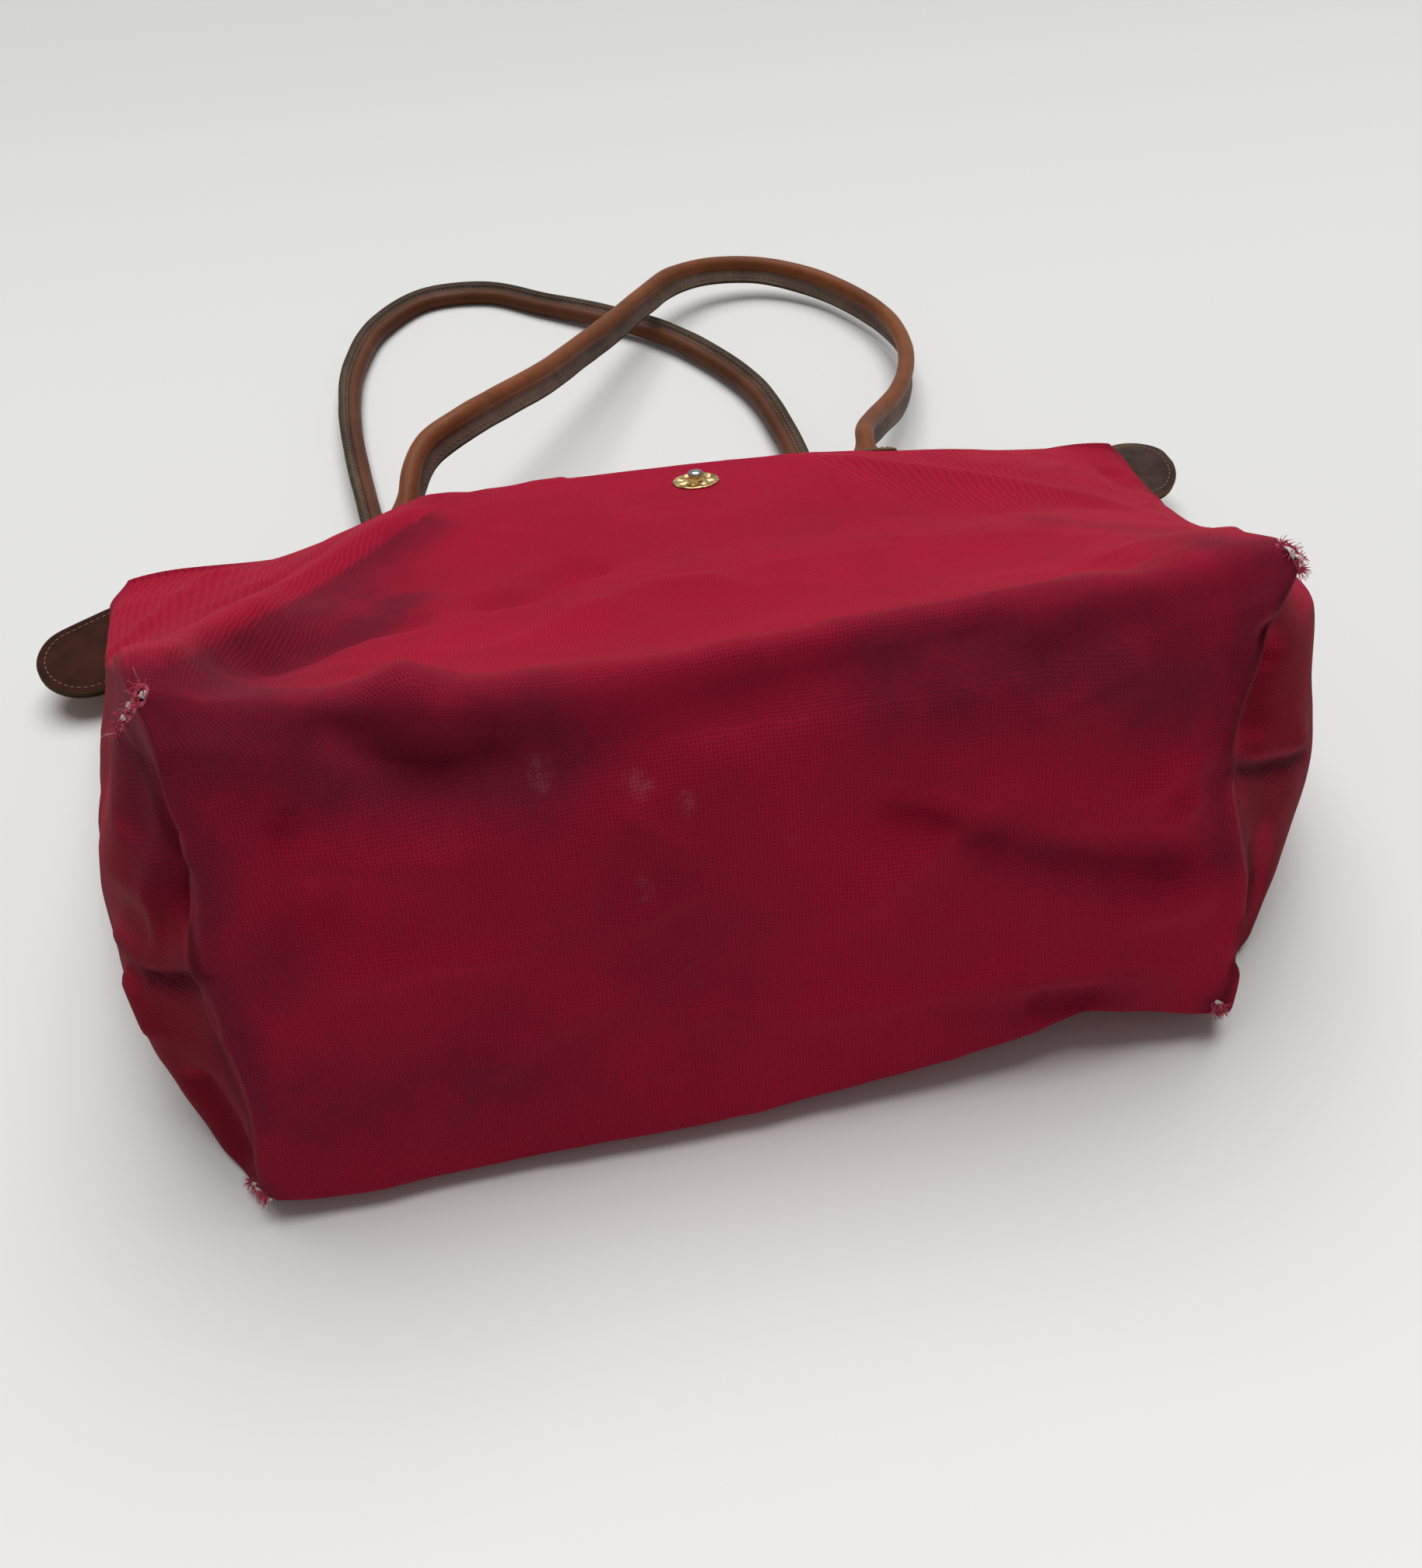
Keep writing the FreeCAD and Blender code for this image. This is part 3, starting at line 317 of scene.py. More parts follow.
class StageSettings(bpy.types.PropertyGroup):
    floor: FloatVectorProperty(name="Floor colour", description="Colour of the floor", subtype="COLOR",
                               size=3, default=(0.80, 0.80, 0.785), min=0, max=1)
    key: FloatProperty(name="Key lamp", description="Strength of the broad light from above", default=2.65,
                       min=0, max=20)
    fill: FloatProperty(name="Surrounding light", description="Strength of the light from all sides",
                        default=0.19, min=0, max=3)


# Shader building

class Wire:
    """A shader socket that takes part in sums and products of numbers."""

    def __init__(self, recipe, socket):
        self.recipe = recipe
        self.socket = socket

    def combine(self, operation, *others):
        return self.recipe.wire("ShaderNodeMath", {"operation": operation},
                                {0: self, **{slot + 1: other for slot, other in enumerate(others)}})

    def __add__(self, other):
        return self.combine("ADD", other)

    def __sub__(self, other):
        return self.combine("SUBTRACT", other)

    def __mul__(self, other):
        return self.combine("MULTIPLY", other)

    def __pow__(self, other):
        return self.combine("POWER", other)

    def __rsub__(self, other):
        return self.recipe.wire("ShaderNodeMath", {"operation": "SUBTRACT"}, {0: other, 1: self})

    __radd__ = __add__
    __rmul__ = __mul__

    def sin(self):
        return self.combine("SINE")

    def size(self):
        return self.combine("ABSOLUTE")

    def step(self, low, high):
        """0 below low, 1 above high, smooth between."""
        return self.recipe.wire("ShaderNodeMapRange", {"interpolation_type": "SMOOTHSTEP"},
                                {"Value": self, "From Min": low, "From Max": high})


class Recipe:
    """A material and the nodes that make its finish."""

    def __init__(self, name, **constants):
        self.material = bpy.data.materials.new(name)
        self.material.use_nodes = True
        self.tree = self.material.node_tree
        self.tree.nodes.clear()
        self.shader = self.node("ShaderNodeBsdfPrincipled", {}, constants)
        self.output = self.node("ShaderNodeOutputMaterial", {}, {"Surface": self.shader.outputs[0]})

    def node(self, kind, settings, inputs):
        """Makes a node: its settings first, then the values or links of its sockets."""
        made = self.tree.nodes.new(kind)
        for name, value in settings.items():
            setattr(made, name, value)
        for key, value in inputs.items():
            self.feed(made.inputs[key], value)
        return made

    def feed(self, socket, value):
        if isinstance(value, Wire):
            value = value.socket
        if isinstance(value, bpy.types.NodeSocket):
            self.tree.links.new(value, socket)
        elif socket.type == "RGBA" and len(value) == 3:
            socket.default_value = (*value, 1.0)
        else:
            socket.default_value = value

    def wire(self, kind, settings, inputs, out=0):
        return Wire(self, self.node(kind, settings, inputs).outputs[out])

    def mix(self, factor, first, second, blend="MIX"):
        """A colour between two colours."""
        made = self.node("ShaderNodeMix", {"data_type": "RGBA", "blend_type": blend},
                         {0: factor, 6: first, 7: second})
        return made.outputs[2]

    def place(self, coordinate="Object"):
        return self.node("ShaderNodeTexCoord", {}, {}).outputs[coordinate]

    def stretched(self, vector, scale):
        return self.node("ShaderNodeMapping", {}, {"Vector": vector, "Scale": scale}).outputs[0]

    def clouds(self, vector, scale, detail=3.0, rough=0.5):
        return self.wire("ShaderNodeTexNoise", {}, {"Vector": vector, "Scale": scale,
                                                    "Detail": detail, "Roughness": rough})

    def axis(self, vector, name):
        return self.wire("ShaderNodeSeparateXYZ", {}, {"Vector": vector}, "XYZ".index(name))

    def attribute(self, name):
        return self.wire("ShaderNodeAttribute", {"attribute_name": name}, {}, 2)

    def bump(self, height, distance, strength=1.0, under=None):
        inputs = {"Height": height, "Distance": distance, "Strength": strength}
        if under is not None:
            inputs["Normal"] = under
        return self.node("ShaderNodeBump", {}, inputs).outputs[0]

    def finish(self, **inputs):
        for key, value in inputs.items():
            self.feed(self.shader.inputs[key.replace("_", " ")], value)
        return self.material


def shaded(colour, share):
    return [min(1.0, channel * share) for channel in colour]


def canvas_finish(settings, name="canvas_cloth"):
    recipe = Recipe(name, **{"Specular IOR Level": 0.07})
    where = recipe.place("Object")
    weave = recipe.place("UV")
    turn = 2 * math.pi / settings.thread
    slack = recipe.clouds(where, 170.0, 1.0) * 0.0011
    across = (recipe.axis(weave, "X") + slack) * turn
    along = (recipe.axis(weave, "Y") + slack) * turn
    rib = across.sin() * 0.5 + 0.5
    threads = (across.sin() * along.sin()) * 0.5 + 0.5
    slub = recipe.clouds(recipe.stretched(weave, (1400, 260, 1)), 1.0, 2.0)
    mottle = recipe.clouds(where, 26.0, 4.0, 0.6)
    cloud = recipe.clouds(where, 6.0, 2.0)
    soil_and_shade = recipe.attribute("soil_and_shade")
    scuff = recipe.attribute("scuff")
    coat = recipe.attribute("coating")
    painted_gusset_shade = recipe.attribute("painted_gusset_shade")
    clean = list(settings.colour)
    speckle = recipe.clouds(where, 420.0, 2.0, 0.6)
    patches = recipe.clouds(where, 58.0, 4.0, 0.65)
    # Dirt and painted shade together: shade painted under creases, below edges and over the base panel, with real
    # dirt, broken up by patches and speckle
    soiled_and_shaded = (soil_and_shade * (patches * 0.9 + 0.40) * (speckle * 0.4 + 0.8)).step(0.03, 1.0) * 0.92
    colour = recipe.mix((cloud * 0.5 + mottle * 0.5).step(0.30, 0.70), shaded(clean, 0.84),
                        shaded(clean, 1.06))
    # Painted shade on the gussets, which get less light: a darker, deeper red
    colour = recipe.mix(painted_gusset_shade, colour, (0.200, 0.0032, 0.0135))
    colour = recipe.mix(soiled_and_shaded, colour, list(settings.deep))
    rubbed = (scuff * (speckle * 1.5 + patches * 0.9)).step(0.70, 1.35) * 0.20
    colour = recipe.mix(rubbed, colour, [channel * 0.8 + 0.16 for channel in clean])
    colour = recipe.mix(threads * rib * 0.66 + slub * 0.10, colour, shaded(clean, 0.27))
    # Painted shade: thin dark lines in the deep folds beside the seams and the base's side edges
    colour = recipe.mix(recipe.attribute("crease") * 0.8, colour, shaded(clean, 0.16))
    colour = recipe.mix(coat.step(0.35, 0.75), colour, (0.50, 0.10, 0.15))
    relief = threads * 0.6 + rib * 0.4 + slub * 0.4
    normal = recipe.bump(relief, 0.00034, 0.7)
    normal = recipe.bump(recipe.clouds(where, 75.0, 3.0), 0.0007, 0.30, normal)
    return recipe.finish(Base_Color=colour, Roughness=0.68 + mottle * 0.16, Normal=normal)


def lining_finish(name="inside_coating"):
    recipe = Recipe(name, **{"Specular IOR Level": 0.4})
    where = recipe.place("Object")
    cloud = recipe.clouds(where, 30.0, 3.0)
    colour = recipe.mix(cloud, (0.34, 0.26, 0.26), (0.52, 0.45, 0.44))
    return recipe.finish(Base_Color=colour, Roughness=0.42 + cloud * 0.15,
                         Normal=recipe.bump(recipe.clouds(where, 900.0, 2.0), 0.0001, 0.5))


def leather_finish(name, colour, edge, lip, rough=0.40, grain=1.0):
    recipe = Recipe(name, **{"Specular IOR Level": 0.17, "Coat Roughness": 0.30})
    where = recipe.place("Object")
    cells = recipe.wire("ShaderNodeTexVoronoi", {"feature": "DISTANCE_TO_EDGE"},
                        {"Vector": where, "Scale": 1300.0})
    stains = recipe.clouds(where, 34.0, 4.0, 0.6)
    streak = recipe.clouds(where, 240.0, 3.0)
    edge_mask = recipe.attribute("edge")
    tone = (stains * 0.8 + streak * 0.25).step(0.32, 0.78)
    body = recipe.mix(tone, shaded(colour, 0.62), shaded(colour, 1.22))
    body = recipe.mix(cells.step(0.0, 0.12), shaded(colour, 0.6), body)
    worn = recipe.mix(tone, shaded(lip, 0.55), shaded(lip, 1.25))
    body = recipe.mix(edge_mask.step(0.25, 0.5), body, worn)
    rim = recipe.mix(streak.step(0.3, 0.7), shaded(edge, 0.65), shaded(edge, 1.2))
    body = recipe.mix(edge_mask.step(0.7, 0.95), body, rim)
    normal = recipe.bump(cells.step(0.0, 0.2), 0.00012 * grain, 0.30)
    normal = recipe.bump(stains, 0.0006 * grain, 0.25, normal)
    return recipe.finish(Base_Color=body, Roughness=rough + streak * 0.16 + edge_mask * 0.25, Normal=normal,
                         Coat_Weight=stains.step(0.4, 0.7) * 0.08)


def suede_finish(name, colour, edge):
    recipe = Recipe(name, **{"Specular IOR Level": 0.08})
    where = recipe.place("Object")
    nap = recipe.clouds(where, 800.0, 3.0, 0.7)
    patch = recipe.clouds(where, 80.0, 3.0, 0.6)
    edge_mask = recipe.attribute("edge")
    body = recipe.mix((patch * 0.8 + nap * 0.4).step(0.35, 0.85), shaded(colour, 0.65), shaded(colour, 1.45))
    body = recipe.mix(edge_mask.step(0.45, 0.85), body, edge)
    return recipe.finish(Base_Color=body, Roughness=0.66 + nap * 0.15,
                         Normal=recipe.bump(nap, 0.00022, 0.55))


def thread_finish(name, colour):
    recipe = Recipe(name, **{"Specular IOR Level": 0.3, "Sheen Weight": 0.2})
    where = recipe.place("Object")
    strand = recipe.clouds(where, 1500.0, 2.0)
    body = recipe.mix(strand, shaded(colour, 0.7), shaded(colour, 1.25))
    return recipe.finish(Base_Color=body, Roughness=0.6 + strand * 0.2,
                         Normal=recipe.bump(strand, 0.0001, 0.5))


def metal_finish(name, colour, rough, worn):
    recipe = Recipe(name, Metallic=1.0)
    where = recipe.place("Object")
    scratches = recipe.clouds(recipe.stretched(where, (300, 1800, 700)), 1.0, 3.0)
    tarnish = recipe.clouds(where, 420.0, 3.0)
    body = recipe.mix(tarnish.step(0.40, 0.62), worn, colour)
    return recipe.finish(Base_Color=body, Roughness=rough + scratches * 0.14,
                         Normal=recipe.bump(scratches, 0.00004, 0.4))


def woven_finish(name, colour):
    recipe = Recipe(name, **{"Specular IOR Level": 0.25, "Sheen Weight": 0.1})
    where = recipe.place("Object")
    rib = (recipe.axis(where, "X") * 5200.0).sin() * 0.5 + 0.5
    bone = (recipe.axis(where, "Z") * 3400.0 + recipe.axis(where, "X") * 2600.0).sin() * 0.5 + 0.5
    cloud = recipe.clouds(where, 60.0, 3.0)
    body = recipe.mix(rib * bone * 0.5 + cloud * 0.3, shaded(colour, 1.1), shaded(colour, 0.55))
    return recipe.finish(Base_Color=body, Roughness=0.62 + cloud * 0.15,
                         Normal=recipe.bump(rib + bone, 0.0001, 0.5))


def plastic_finish(name, colour, rough):
    recipe = Recipe(name, **{"Specular IOR Level": 0.5})
    where = recipe.place("Object")
    cloud = recipe.clouds(where, 500.0, 2.0)
    body = recipe.mix(cloud, shaded(colour, 0.8), shaded(colour, 1.15))
    return recipe.finish(Base_Color=body, Roughness=rough + cloud * 0.1)


# Mesh building

def own(x, y, z):
    """A point given in millimetres from the base panel's lower edge, in the part's own frame."""
    return np.array((x, y - BACK_EDGE, z), float) * MM


def new_object(name, points, faces, materials, smooth=True):
    mesh = bpy.data.meshes.new(name)
    mesh.from_pydata([tuple(point) for point in points], [], [tuple(face) for face in faces])
    mesh.validate()
    mesh.polygons.foreach_set("use_smooth", [smooth] * len(mesh.polygons))
    for material in materials:
        mesh.materials.append(material)
    made = bpy.data.objects.new(name, mesh)
    bpy.context.scene.collection.objects.link(made)
    return made


def place_piece(made, body, slot, *nodes):
    """Makes a piece move with a body and stand for the solids that it covers."""
    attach(made, body)
    if nodes:
        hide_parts(*nodes)
    return made


def add_values(made, name, values):
    attribute = made.data.attributes.new(name, "FLOAT", "POINT")
    attribute.data.foreach_set("value", np.asarray(values, np.float32))


def use_modifier(made, kind, **settings):
    modifier = made.modifiers.new(kind.title(), kind)
    for key, value in settings.items():
        setattr(modifier, key, value)
    bpy.context.view_layer.objects.active = made
    bpy.ops.object.select_all(action="DESELECT")
    made.select_set(True)
    bpy.ops.object.modifier_apply(modifier=modifier.name)


def join_shapes(shapes):
    """One list of points and faces from many."""
    points, faces = [], []
    for part_points, part_faces in shapes:
        start = len(points)
        points.extend(part_points)
        faces.extend([[corner + start for corner in face] for face in part_faces])
    return points, faces


def tangents(points, sharp, closed):
    """Directions into and out of each point of a run, per unit of length, and the run's lengths."""
    ahead = np.roll(points, -1, axis=0) - points
    length = np.linalg.norm(ahead, axis=-1, keepdims=True)
    length[length < 1e-9] = 1e-9
    leave = ahead / length
    arrive = np.roll(leave, 1, axis=0)
    back_length = np.roll(length, 1, axis=0)
    middle = (leave * back_length + arrive * length) / (length + back_length)
    if not closed:
        middle[0] = leave[0]
        middle[-1] = arrive[-1]
        arrive[0] = leave[0]
        leave[-1] = arrive[-1]
    keen = np.asarray(sharp, float).reshape((-1,) + (1,) * (points.ndim - 1))
    return (1 - keen) * middle + keen * arrive, (1 - keen) * middle + keen * leave, length


def curve_through(points, sharp, counts, closed=False):
    """A smooth line through points, straighter beside those that are sharp."""
    points = np.asarray(points, float)
    arrive, leave, length = tangents(points, sharp, closed)
    rows = []
    last = len(points) if closed else len(points) - 1
    for index in range(last):
        after = (index + 1) % len(points)
        for step in range(counts[index]):
            t = step / counts[index]
            rows.append((2 * t ** 3 - 3 * t * t + 1) * points[index]
                        + (t ** 3 - 2 * t * t + t) * length[index] * leave[index]
                        + (3 * t * t - 2 * t ** 3) * points[after]
                        + (t ** 3 - t * t) * length[index] * arrive[after])
    if not closed:
        rows.append(points[-1])
    return np.array(rows)


def along_line(points):
    """Distance from the start of a line to each of its points."""
    steps = np.linalg.norm(np.diff(points, axis=0), axis=1)
    return np.concatenate([[0.0], np.cumsum(steps)])


def even_line(points, spacing):
    """Points a given distance apart on a line."""
    far = along_line(points)
    count = max(2, int(round(far[-1] / spacing)) + 1)
    wanted = np.linspace(0, far[-1], count)
    return np.stack([np.interp(wanted, far, points[:, axis]) for axis in range(3)], axis=1)


def directions(line):
    run = np.gradient(line, axis=0)
    return run / np.linalg.norm(run, axis=1, keepdims=True)


def loft(sections, closed_ends=True):
    """A skin over closed sections that have equally many points."""
    sections = np.asarray(sections)
    rings, count = sections.shape[:2]
    points = sections.reshape(-1, 3).tolist()
    faces = []
    for ring in range(rings - 1):
        for index in range(count):
            after = (index + 1) % count
            faces.append([ring * count + index, ring * count + after,
                          (ring + 1) * count + after, (ring + 1) * count + index])
    if closed_ends:
        faces.append(list(range(count))[::-1])
        faces.append([(rings - 1) * count + index for index in range(count)])
    return points, faces


def tube(line, radius, sides=6, taper=1.0):
    """A thin round thread along a line, which may thin out towards its end."""
    line = np.asarray(line, float)
    heading = directions(line)
    across = np.cross(heading, (0.31, 0.52, 0.79))
    across = across / np.linalg.norm(across, axis=1, keepdims=True)
    over = np.cross(heading, across)
    sections = []
    for index, centre in enumerate(line):
        reach = radius * (1 + (taper - 1) * index / (len(line) - 1))
        sections.append([centre + (across[index] * math.cos(a) + over[index] * math.sin(a)) * reach
                         for a in np.linspace(0, 2 * math.pi, sides + 1)[:-1]])
    return loft(sections)


def turned(profile, foot, axis, count=48, ripple=None):
    """A skin turned about an axis. The profile is (radius, height) pairs; ripple may lift a point."""
    axis = Vector(axis).normalized()
    side = axis.orthogonal().normalized()
    other = axis.cross(side)
    foot = Vector(foot)
    sections = []
    for radius, height in profile:
        ring = []
        for index in range(count):
            angle = 2 * math.pi * index / count
            lift = height + (ripple(radius, angle) if ripple else 0.0)
            ring.append(foot + side * (radius * math.cos(angle)) + other * (radius * math.sin(angle))
                        + axis * lift)
        sections.append(ring)
    return loft(sections)


def stitch(start, end, normal, radius):
    """One short thread that dips into the leather at its two ends."""
    run = (end - start) / np.linalg.norm(end - start)
    side = np.cross(run, normal)
    side = side / np.linalg.norm(side)
    sections = []
    for part, swell, lift in ((0, 0.45, -0.6), (0.2, 0.95, 0.25), (0.8, 0.95, 0.25), (1, 0.45, -0.6)):
        centre = start + (end - start) * part + normal * radius * lift
        sections.append([centre + (side * math.cos(a) + normal * math.sin(a)) * radius * swell
                         for a in np.linspace(0, 2 * math.pi, 7)[:-1]])
    return loft(sections)


def stitch_row(line, normals, length, gap=0.28, radius=0.00032):
    """A row of short rounded stitches lying on a line, with the surface's normals along it."""
    line = np.asarray(line, float)
    normals = np.asarray(normals, float)
    spots = even_line(line, length)
    far = along_line(line)
    place = along_line(spots)
    shapes = []
    for start, end, at in zip(spots, spots[1:], place):
        normal = np.array([np.interp(at, far, normals[:, axis]) for axis in range(3)])
        run = end - start
        shapes.append(stitch(start + run * gap / 2, end - run * gap / 2, normal / np.linalg.norm(normal),
                             radius))
    return join_shapes(shapes)


def leather_piece(width_at, length, thickness, to_world, cells=(24, 40)):
    """A cut piece of leather with soft edges.

    width_at gives half the piece's width at a distance from its straight root, and to_world turns
    (across, along, height) into a point. Gives points, faces and how near each point is to the edge.
    """
    across = np.sin(np.linspace(-math.pi / 2, math.pi / 2, cells[0] + 1))
    along = (1 - np.cos(np.linspace(0, math.pi, cells[1] + 1))) / 2 * length
    rim = thickness * 0.55
    points, edge = [], []
    for side in (1, -1):
        for far in along:
            half = max(width_at(far), 1e-5)
            for share in across:
                gap = min(half * (1 - abs(share)), length - far, far)
                near = max(0.0, 1 - gap / rim)
                height = thickness / 2 * (1 + side * math.sqrt(max(0.0, 1 - near * near)))
                points.append(to_world(share * half, far, height))
                edge.append(max(0.0, 1 - gap / (rim * 2.2)))
    count = len(across)
    rows = len(along)
    faces = []
    for side in (0, 1):
        start = side * rows * count
        for row in range(rows - 1):
            for column in range(count - 1):
                face = [start + row * count + column, start + row * count + column + 1,
                        start + (row + 1) * count + column + 1, start + (row + 1) * count + column]
                faces.append(face if side == 0 else face[::-1])
    return points, faces, edge


def merged(made, distance=0.00002):
    """Joins points that lie on each other and turns all faces outward."""
    shape = bmesh.new()
    shape.from_mesh(made.data)
    bmesh.ops.remove_doubles(shape, verts=shape.verts, dist=distance)
    bmesh.ops.dissolve_degenerate(shape, edges=shape.edges, dist=distance / 4)
    bmesh.ops.recalc_face_normals(shape, faces=shape.faces)
    shape.to_mesh(made.data)
    shape.free()
    return made


# Canvas

RAIL_SHARP = [0.8, 0.25, 0.75, 0.25, 0.7, 0.35, 0.55, 0.55, 0.35, 0.7, 0.25, 0.75, 0.25, 0.8, 0.3, 0.3, 0.3,
              0.3]
STATION_SHARP = [0.7, 0.25, 0, 0, 0, 0, 0.35, 0.5, 1]
LEFT_CELLS = (11, 9, 9, 10)
TOP_CELLS = (9, 9, 56, 9, 9)
LENGTH_CELLS = (5, 8, 12, 16, 5, 24, 4, 6)
CELLS_OF_SCALE = 3.0


def side_run(side, folds, low, middle):
    height, steps, wing_x, crease_x, wing_z = side
    levels = [low] + [low + part * (height - low) for part in folds] + [height]
    run = [(BASE_HALF + step, level) for step, level in zip(steps, levels)]
    return run + [(wing_x, wing_z), (crease_x, middle)]


def control_points():
    """The control points of the bag's skin, one loop per station."""
    loops = []
    for y, lean, left, right, middle, under in CROSS_LOOPS:
        points = [(-x, z) for x, z in side_run(left, LEFT_FOLDS, under[0], middle)]
        points += [(x, z) for x, z in reversed(side_run(right, RIGHT_FOLDS, under[5], middle))]
        points += [(STUD_X + step, z)
                   for step, z in zip(TUCK_STEPS, (under[4], under[3], under[2], under[1]))]
        loops.append([own(x, y + lean * z, z) for x, z in points])
    return np.array(loops)


def scaled(counts, fineness):
    return [max(2, int(round(count * fineness / CELLS_OF_SCALE))) for count in counts]


class BagSkin:
    """The bag's outer face: a grid round its sides, a grid over its base panel and two lips at the zip."""

    def __init__(self, fineness):
        control = control_points()
        rails = curve_through(control, STATION_SHARP, scaled(LENGTH_CELLS, fineness))
        side = scaled(LEFT_CELLS, fineness)
        top = scaled(TOP_CELLS, fineness)
        self.around = side + top + side[::-1] + top[::-1]
        self.side_count = sum(side)
        self.top_count = sum(top)
        self.grid = np.array([curve_through(loop, RAIL_SHARP, self.around, closed=True) for loop in rails])
        self.rows, self.columns = self.grid.shape[:2]
        self.base = self.base_panel(self.grid[0])
        self.stations = np.concatenate([[0], np.cumsum(scaled(LENGTH_CELLS, fineness))])
        self.rail_columns = np.concatenate([[0], np.cumsum(self.around)])[:-1]

    def base_panel(self, edge):
        """The base panel's inner points, spread from its four edges."""
        n_side, n_top = self.side_count, self.top_count
        left = edge[:n_side + 1]
        top = edge[n_side:n_side + n_top + 1]
        right = edge[n_side + n_top:2 * n_side + n_top + 1][::-1]
        bottom = np.concatenate([edge[:1], edge[2 * n_side + n_top:][::-1]])
        u = (along_line(top) / along_line(top)[-1] + along_line(bottom) / along_line(bottom)[-1]) / 2
        v = (along_line(left) / along_line(left)[-1] + along_line(right) / along_line(right)[-1]) / 2
        u = u[:, None, None]
        v = v[None, :, None]
        return ((1 - v) * bottom[:, None] + v * top[:, None] + (1 - u) * left[None] + u * right[None]
                - (1 - u) * (1 - v) * left[0] - u * (1 - v) * right[0] - (1 - u) * v * left[-1] - u * v * right[-1])

    def index_of(self, row, column):
        return row * self.columns + column % self.columns

    def base_index(self, across, up):
        """Number of a base panel point, which on the panel's edges is a point of the side grid."""
        n_side, n_top = self.side_count, self.top_count
        if across == 0:
            return self.index_of(0, up)
        if up == n_side:
            return self.index_of(0, n_side + across)
        if across == n_top:
            return self.index_of(0, n_side + n_top + (n_side - up))
        if up == 0:
            return self.index_of(0, self.columns - across)
        return self.rows * self.columns + (across - 1) * (n_side - 1) + up - 1

    def lip_index(self, column):
        inner = (self.top_count - 1) * (self.side_count - 1)
        return self.rows * self.columns + inner + column % self.columns

    def points(self):
        inner = self.base[1:-1, 1:-1].reshape(-1, 3)
        lips = self.grid[-1].copy()
        lips[:, 0] = np.clip(lips[:, 0], (MOUTH_ENDS[0] + 1) * MM, (MOUTH_ENDS[1] - 1) * MM)
        lips[:, 2] = np.clip(lips[:, 2], (ZIP_Z - SLOT_HALF) * MM, (ZIP_Z + SLOT_HALF) * MM)
        return np.concatenate([self.grid.reshape(-1, 3), inner, lips])

    def faces(self):
        faces = []
        for row in range(self.rows - 1):
            for column in range(self.columns):
                faces.append([self.index_of(row, column), self.index_of(row, column + 1),
                              self.index_of(row + 1, column + 1), self.index_of(row + 1, column)])
        for across in range(self.top_count):
            for up in range(self.side_count):
                faces.append([self.base_index(across, up), self.base_index(across + 1, up),
                              self.base_index(across + 1, up + 1), self.base_index(across, up + 1)])
        for column in range(self.columns):
            faces.append([self.index_of(self.rows - 1, column), self.index_of(self.rows - 1, column + 1),
                          self.lip_index(column + 1), self.lip_index(column)])
        return faces

    def cloth_coordinates(self):
        """For every corner of every face, its place on the cloth in metres."""
        middle_row = self.grid[self.rows // 3]
        round_the_bag = along_line(np.concatenate([middle_row, middle_row[:1]]))
        length = along_line(self.grid[:, self.side_count + self.top_count // 2])
        length = np.append(length, length[-1] + 4 * MM)
        corners = []
        for row in range(self.rows - 1):
            for column in range(self.columns):
                for a, b in ((0, 0), (0, 1), (1, 1), (1, 0)):
                    corners.append((round_the_bag[column + b], length[row + a]))
        for across in range(self.top_count):
            for up in range(self.side_count):
                for a, b in ((0, 0), (1, 0), (1, 1), (0, 1)):
                    point = self.base[across + a, up + b]
                    corners.append((point[0], point[2] * math.hypot(1, BASE_LEAN)))
        for column in range(self.columns):
            for a, b in ((0, 0), (0, 1), (1, 1), (1, 0)):
                corners.append((round_the_bag[column + b], length[self.rows - 1 + a]))
        return corners

    def row_near(self, y):
        """The grid row whose underside lies nearest to a distance from the base's lower edge."""
        rail = self.grid[:, self.rail_columns[14], 1]
        return int(np.argmin(np.abs(rail - (y - BACK_EDGE) * MM)))


def vertex_normals(points, faces):
    faces = np.array(faces)
    quads = points[faces]
    cross = np.cross(quads[:, 2] - quads[:, 0], quads[:, 3] - quads[:, 1])
    normals = np.zeros_like(points)
    for corner in range(4):
        for axis in range(3):
            normals[:, axis] += np.bincount(faces[:, corner], weights=cross[:, axis], minlength=len(points))
    return normals / np.maximum(np.linalg.norm(normals, axis=1, keepdims=True), 1e-12)


def softened(points, faces, share, rounds):
    """Lets points sink towards their neighbours, by a share of their own in each round."""
    faces = np.array(faces)
    edges = np.concatenate([faces[:, [0, 1]], faces[:, [1, 2]], faces[:, [2, 3]], faces[:, [3, 0]]])
    edges = np.unique(np.sort(edges, axis=1), axis=0)
    near = share > 0.004
    edges = edges[near[edges[:, 0]] | near[edges[:, 1]]]
    first, last = edges.T
    size = len(points)
    count = np.maximum(np.bincount(first, minlength=size) + np.bincount(last, minlength=size), 1)
    moved = points.copy()
    for _ in range(rounds):
        total = np.empty_like(moved)
        for axis in range(3):
            total[:, axis] = (np.bincount(first, weights=moved[last, axis], minlength=size)
                              + np.bincount(last, weights=moved[first, axis], minlength=size))
        moved[near] += share[near, None] * (total[near] / count[near, None] - moved[near])
    return moved


def distance_to(points, line):
    """Distance from each point to a line, how far along it the nearest place is, and that run's number."""
    best = np.full(len(points), 1e9)
    part = np.zeros(len(points))
    which = np.zeros(len(points), int)
    total = max(len(line) - 1, 1)
    for index in range(len(line) - 1):
        run = line[index + 1] - line[index]
        t = np.clip(((points - line[index]) @ run) / max(run @ run, 1e-12), 0, 1)
        gap = np.linalg.norm(points - (line[index] + t[:, None] * run), axis=1)
        nearer = gap < best
        best[nearer] = gap[nearer]
        part[nearer] = (index + t[nearer]) / total
        which[nearer] = index
    return best, part, which


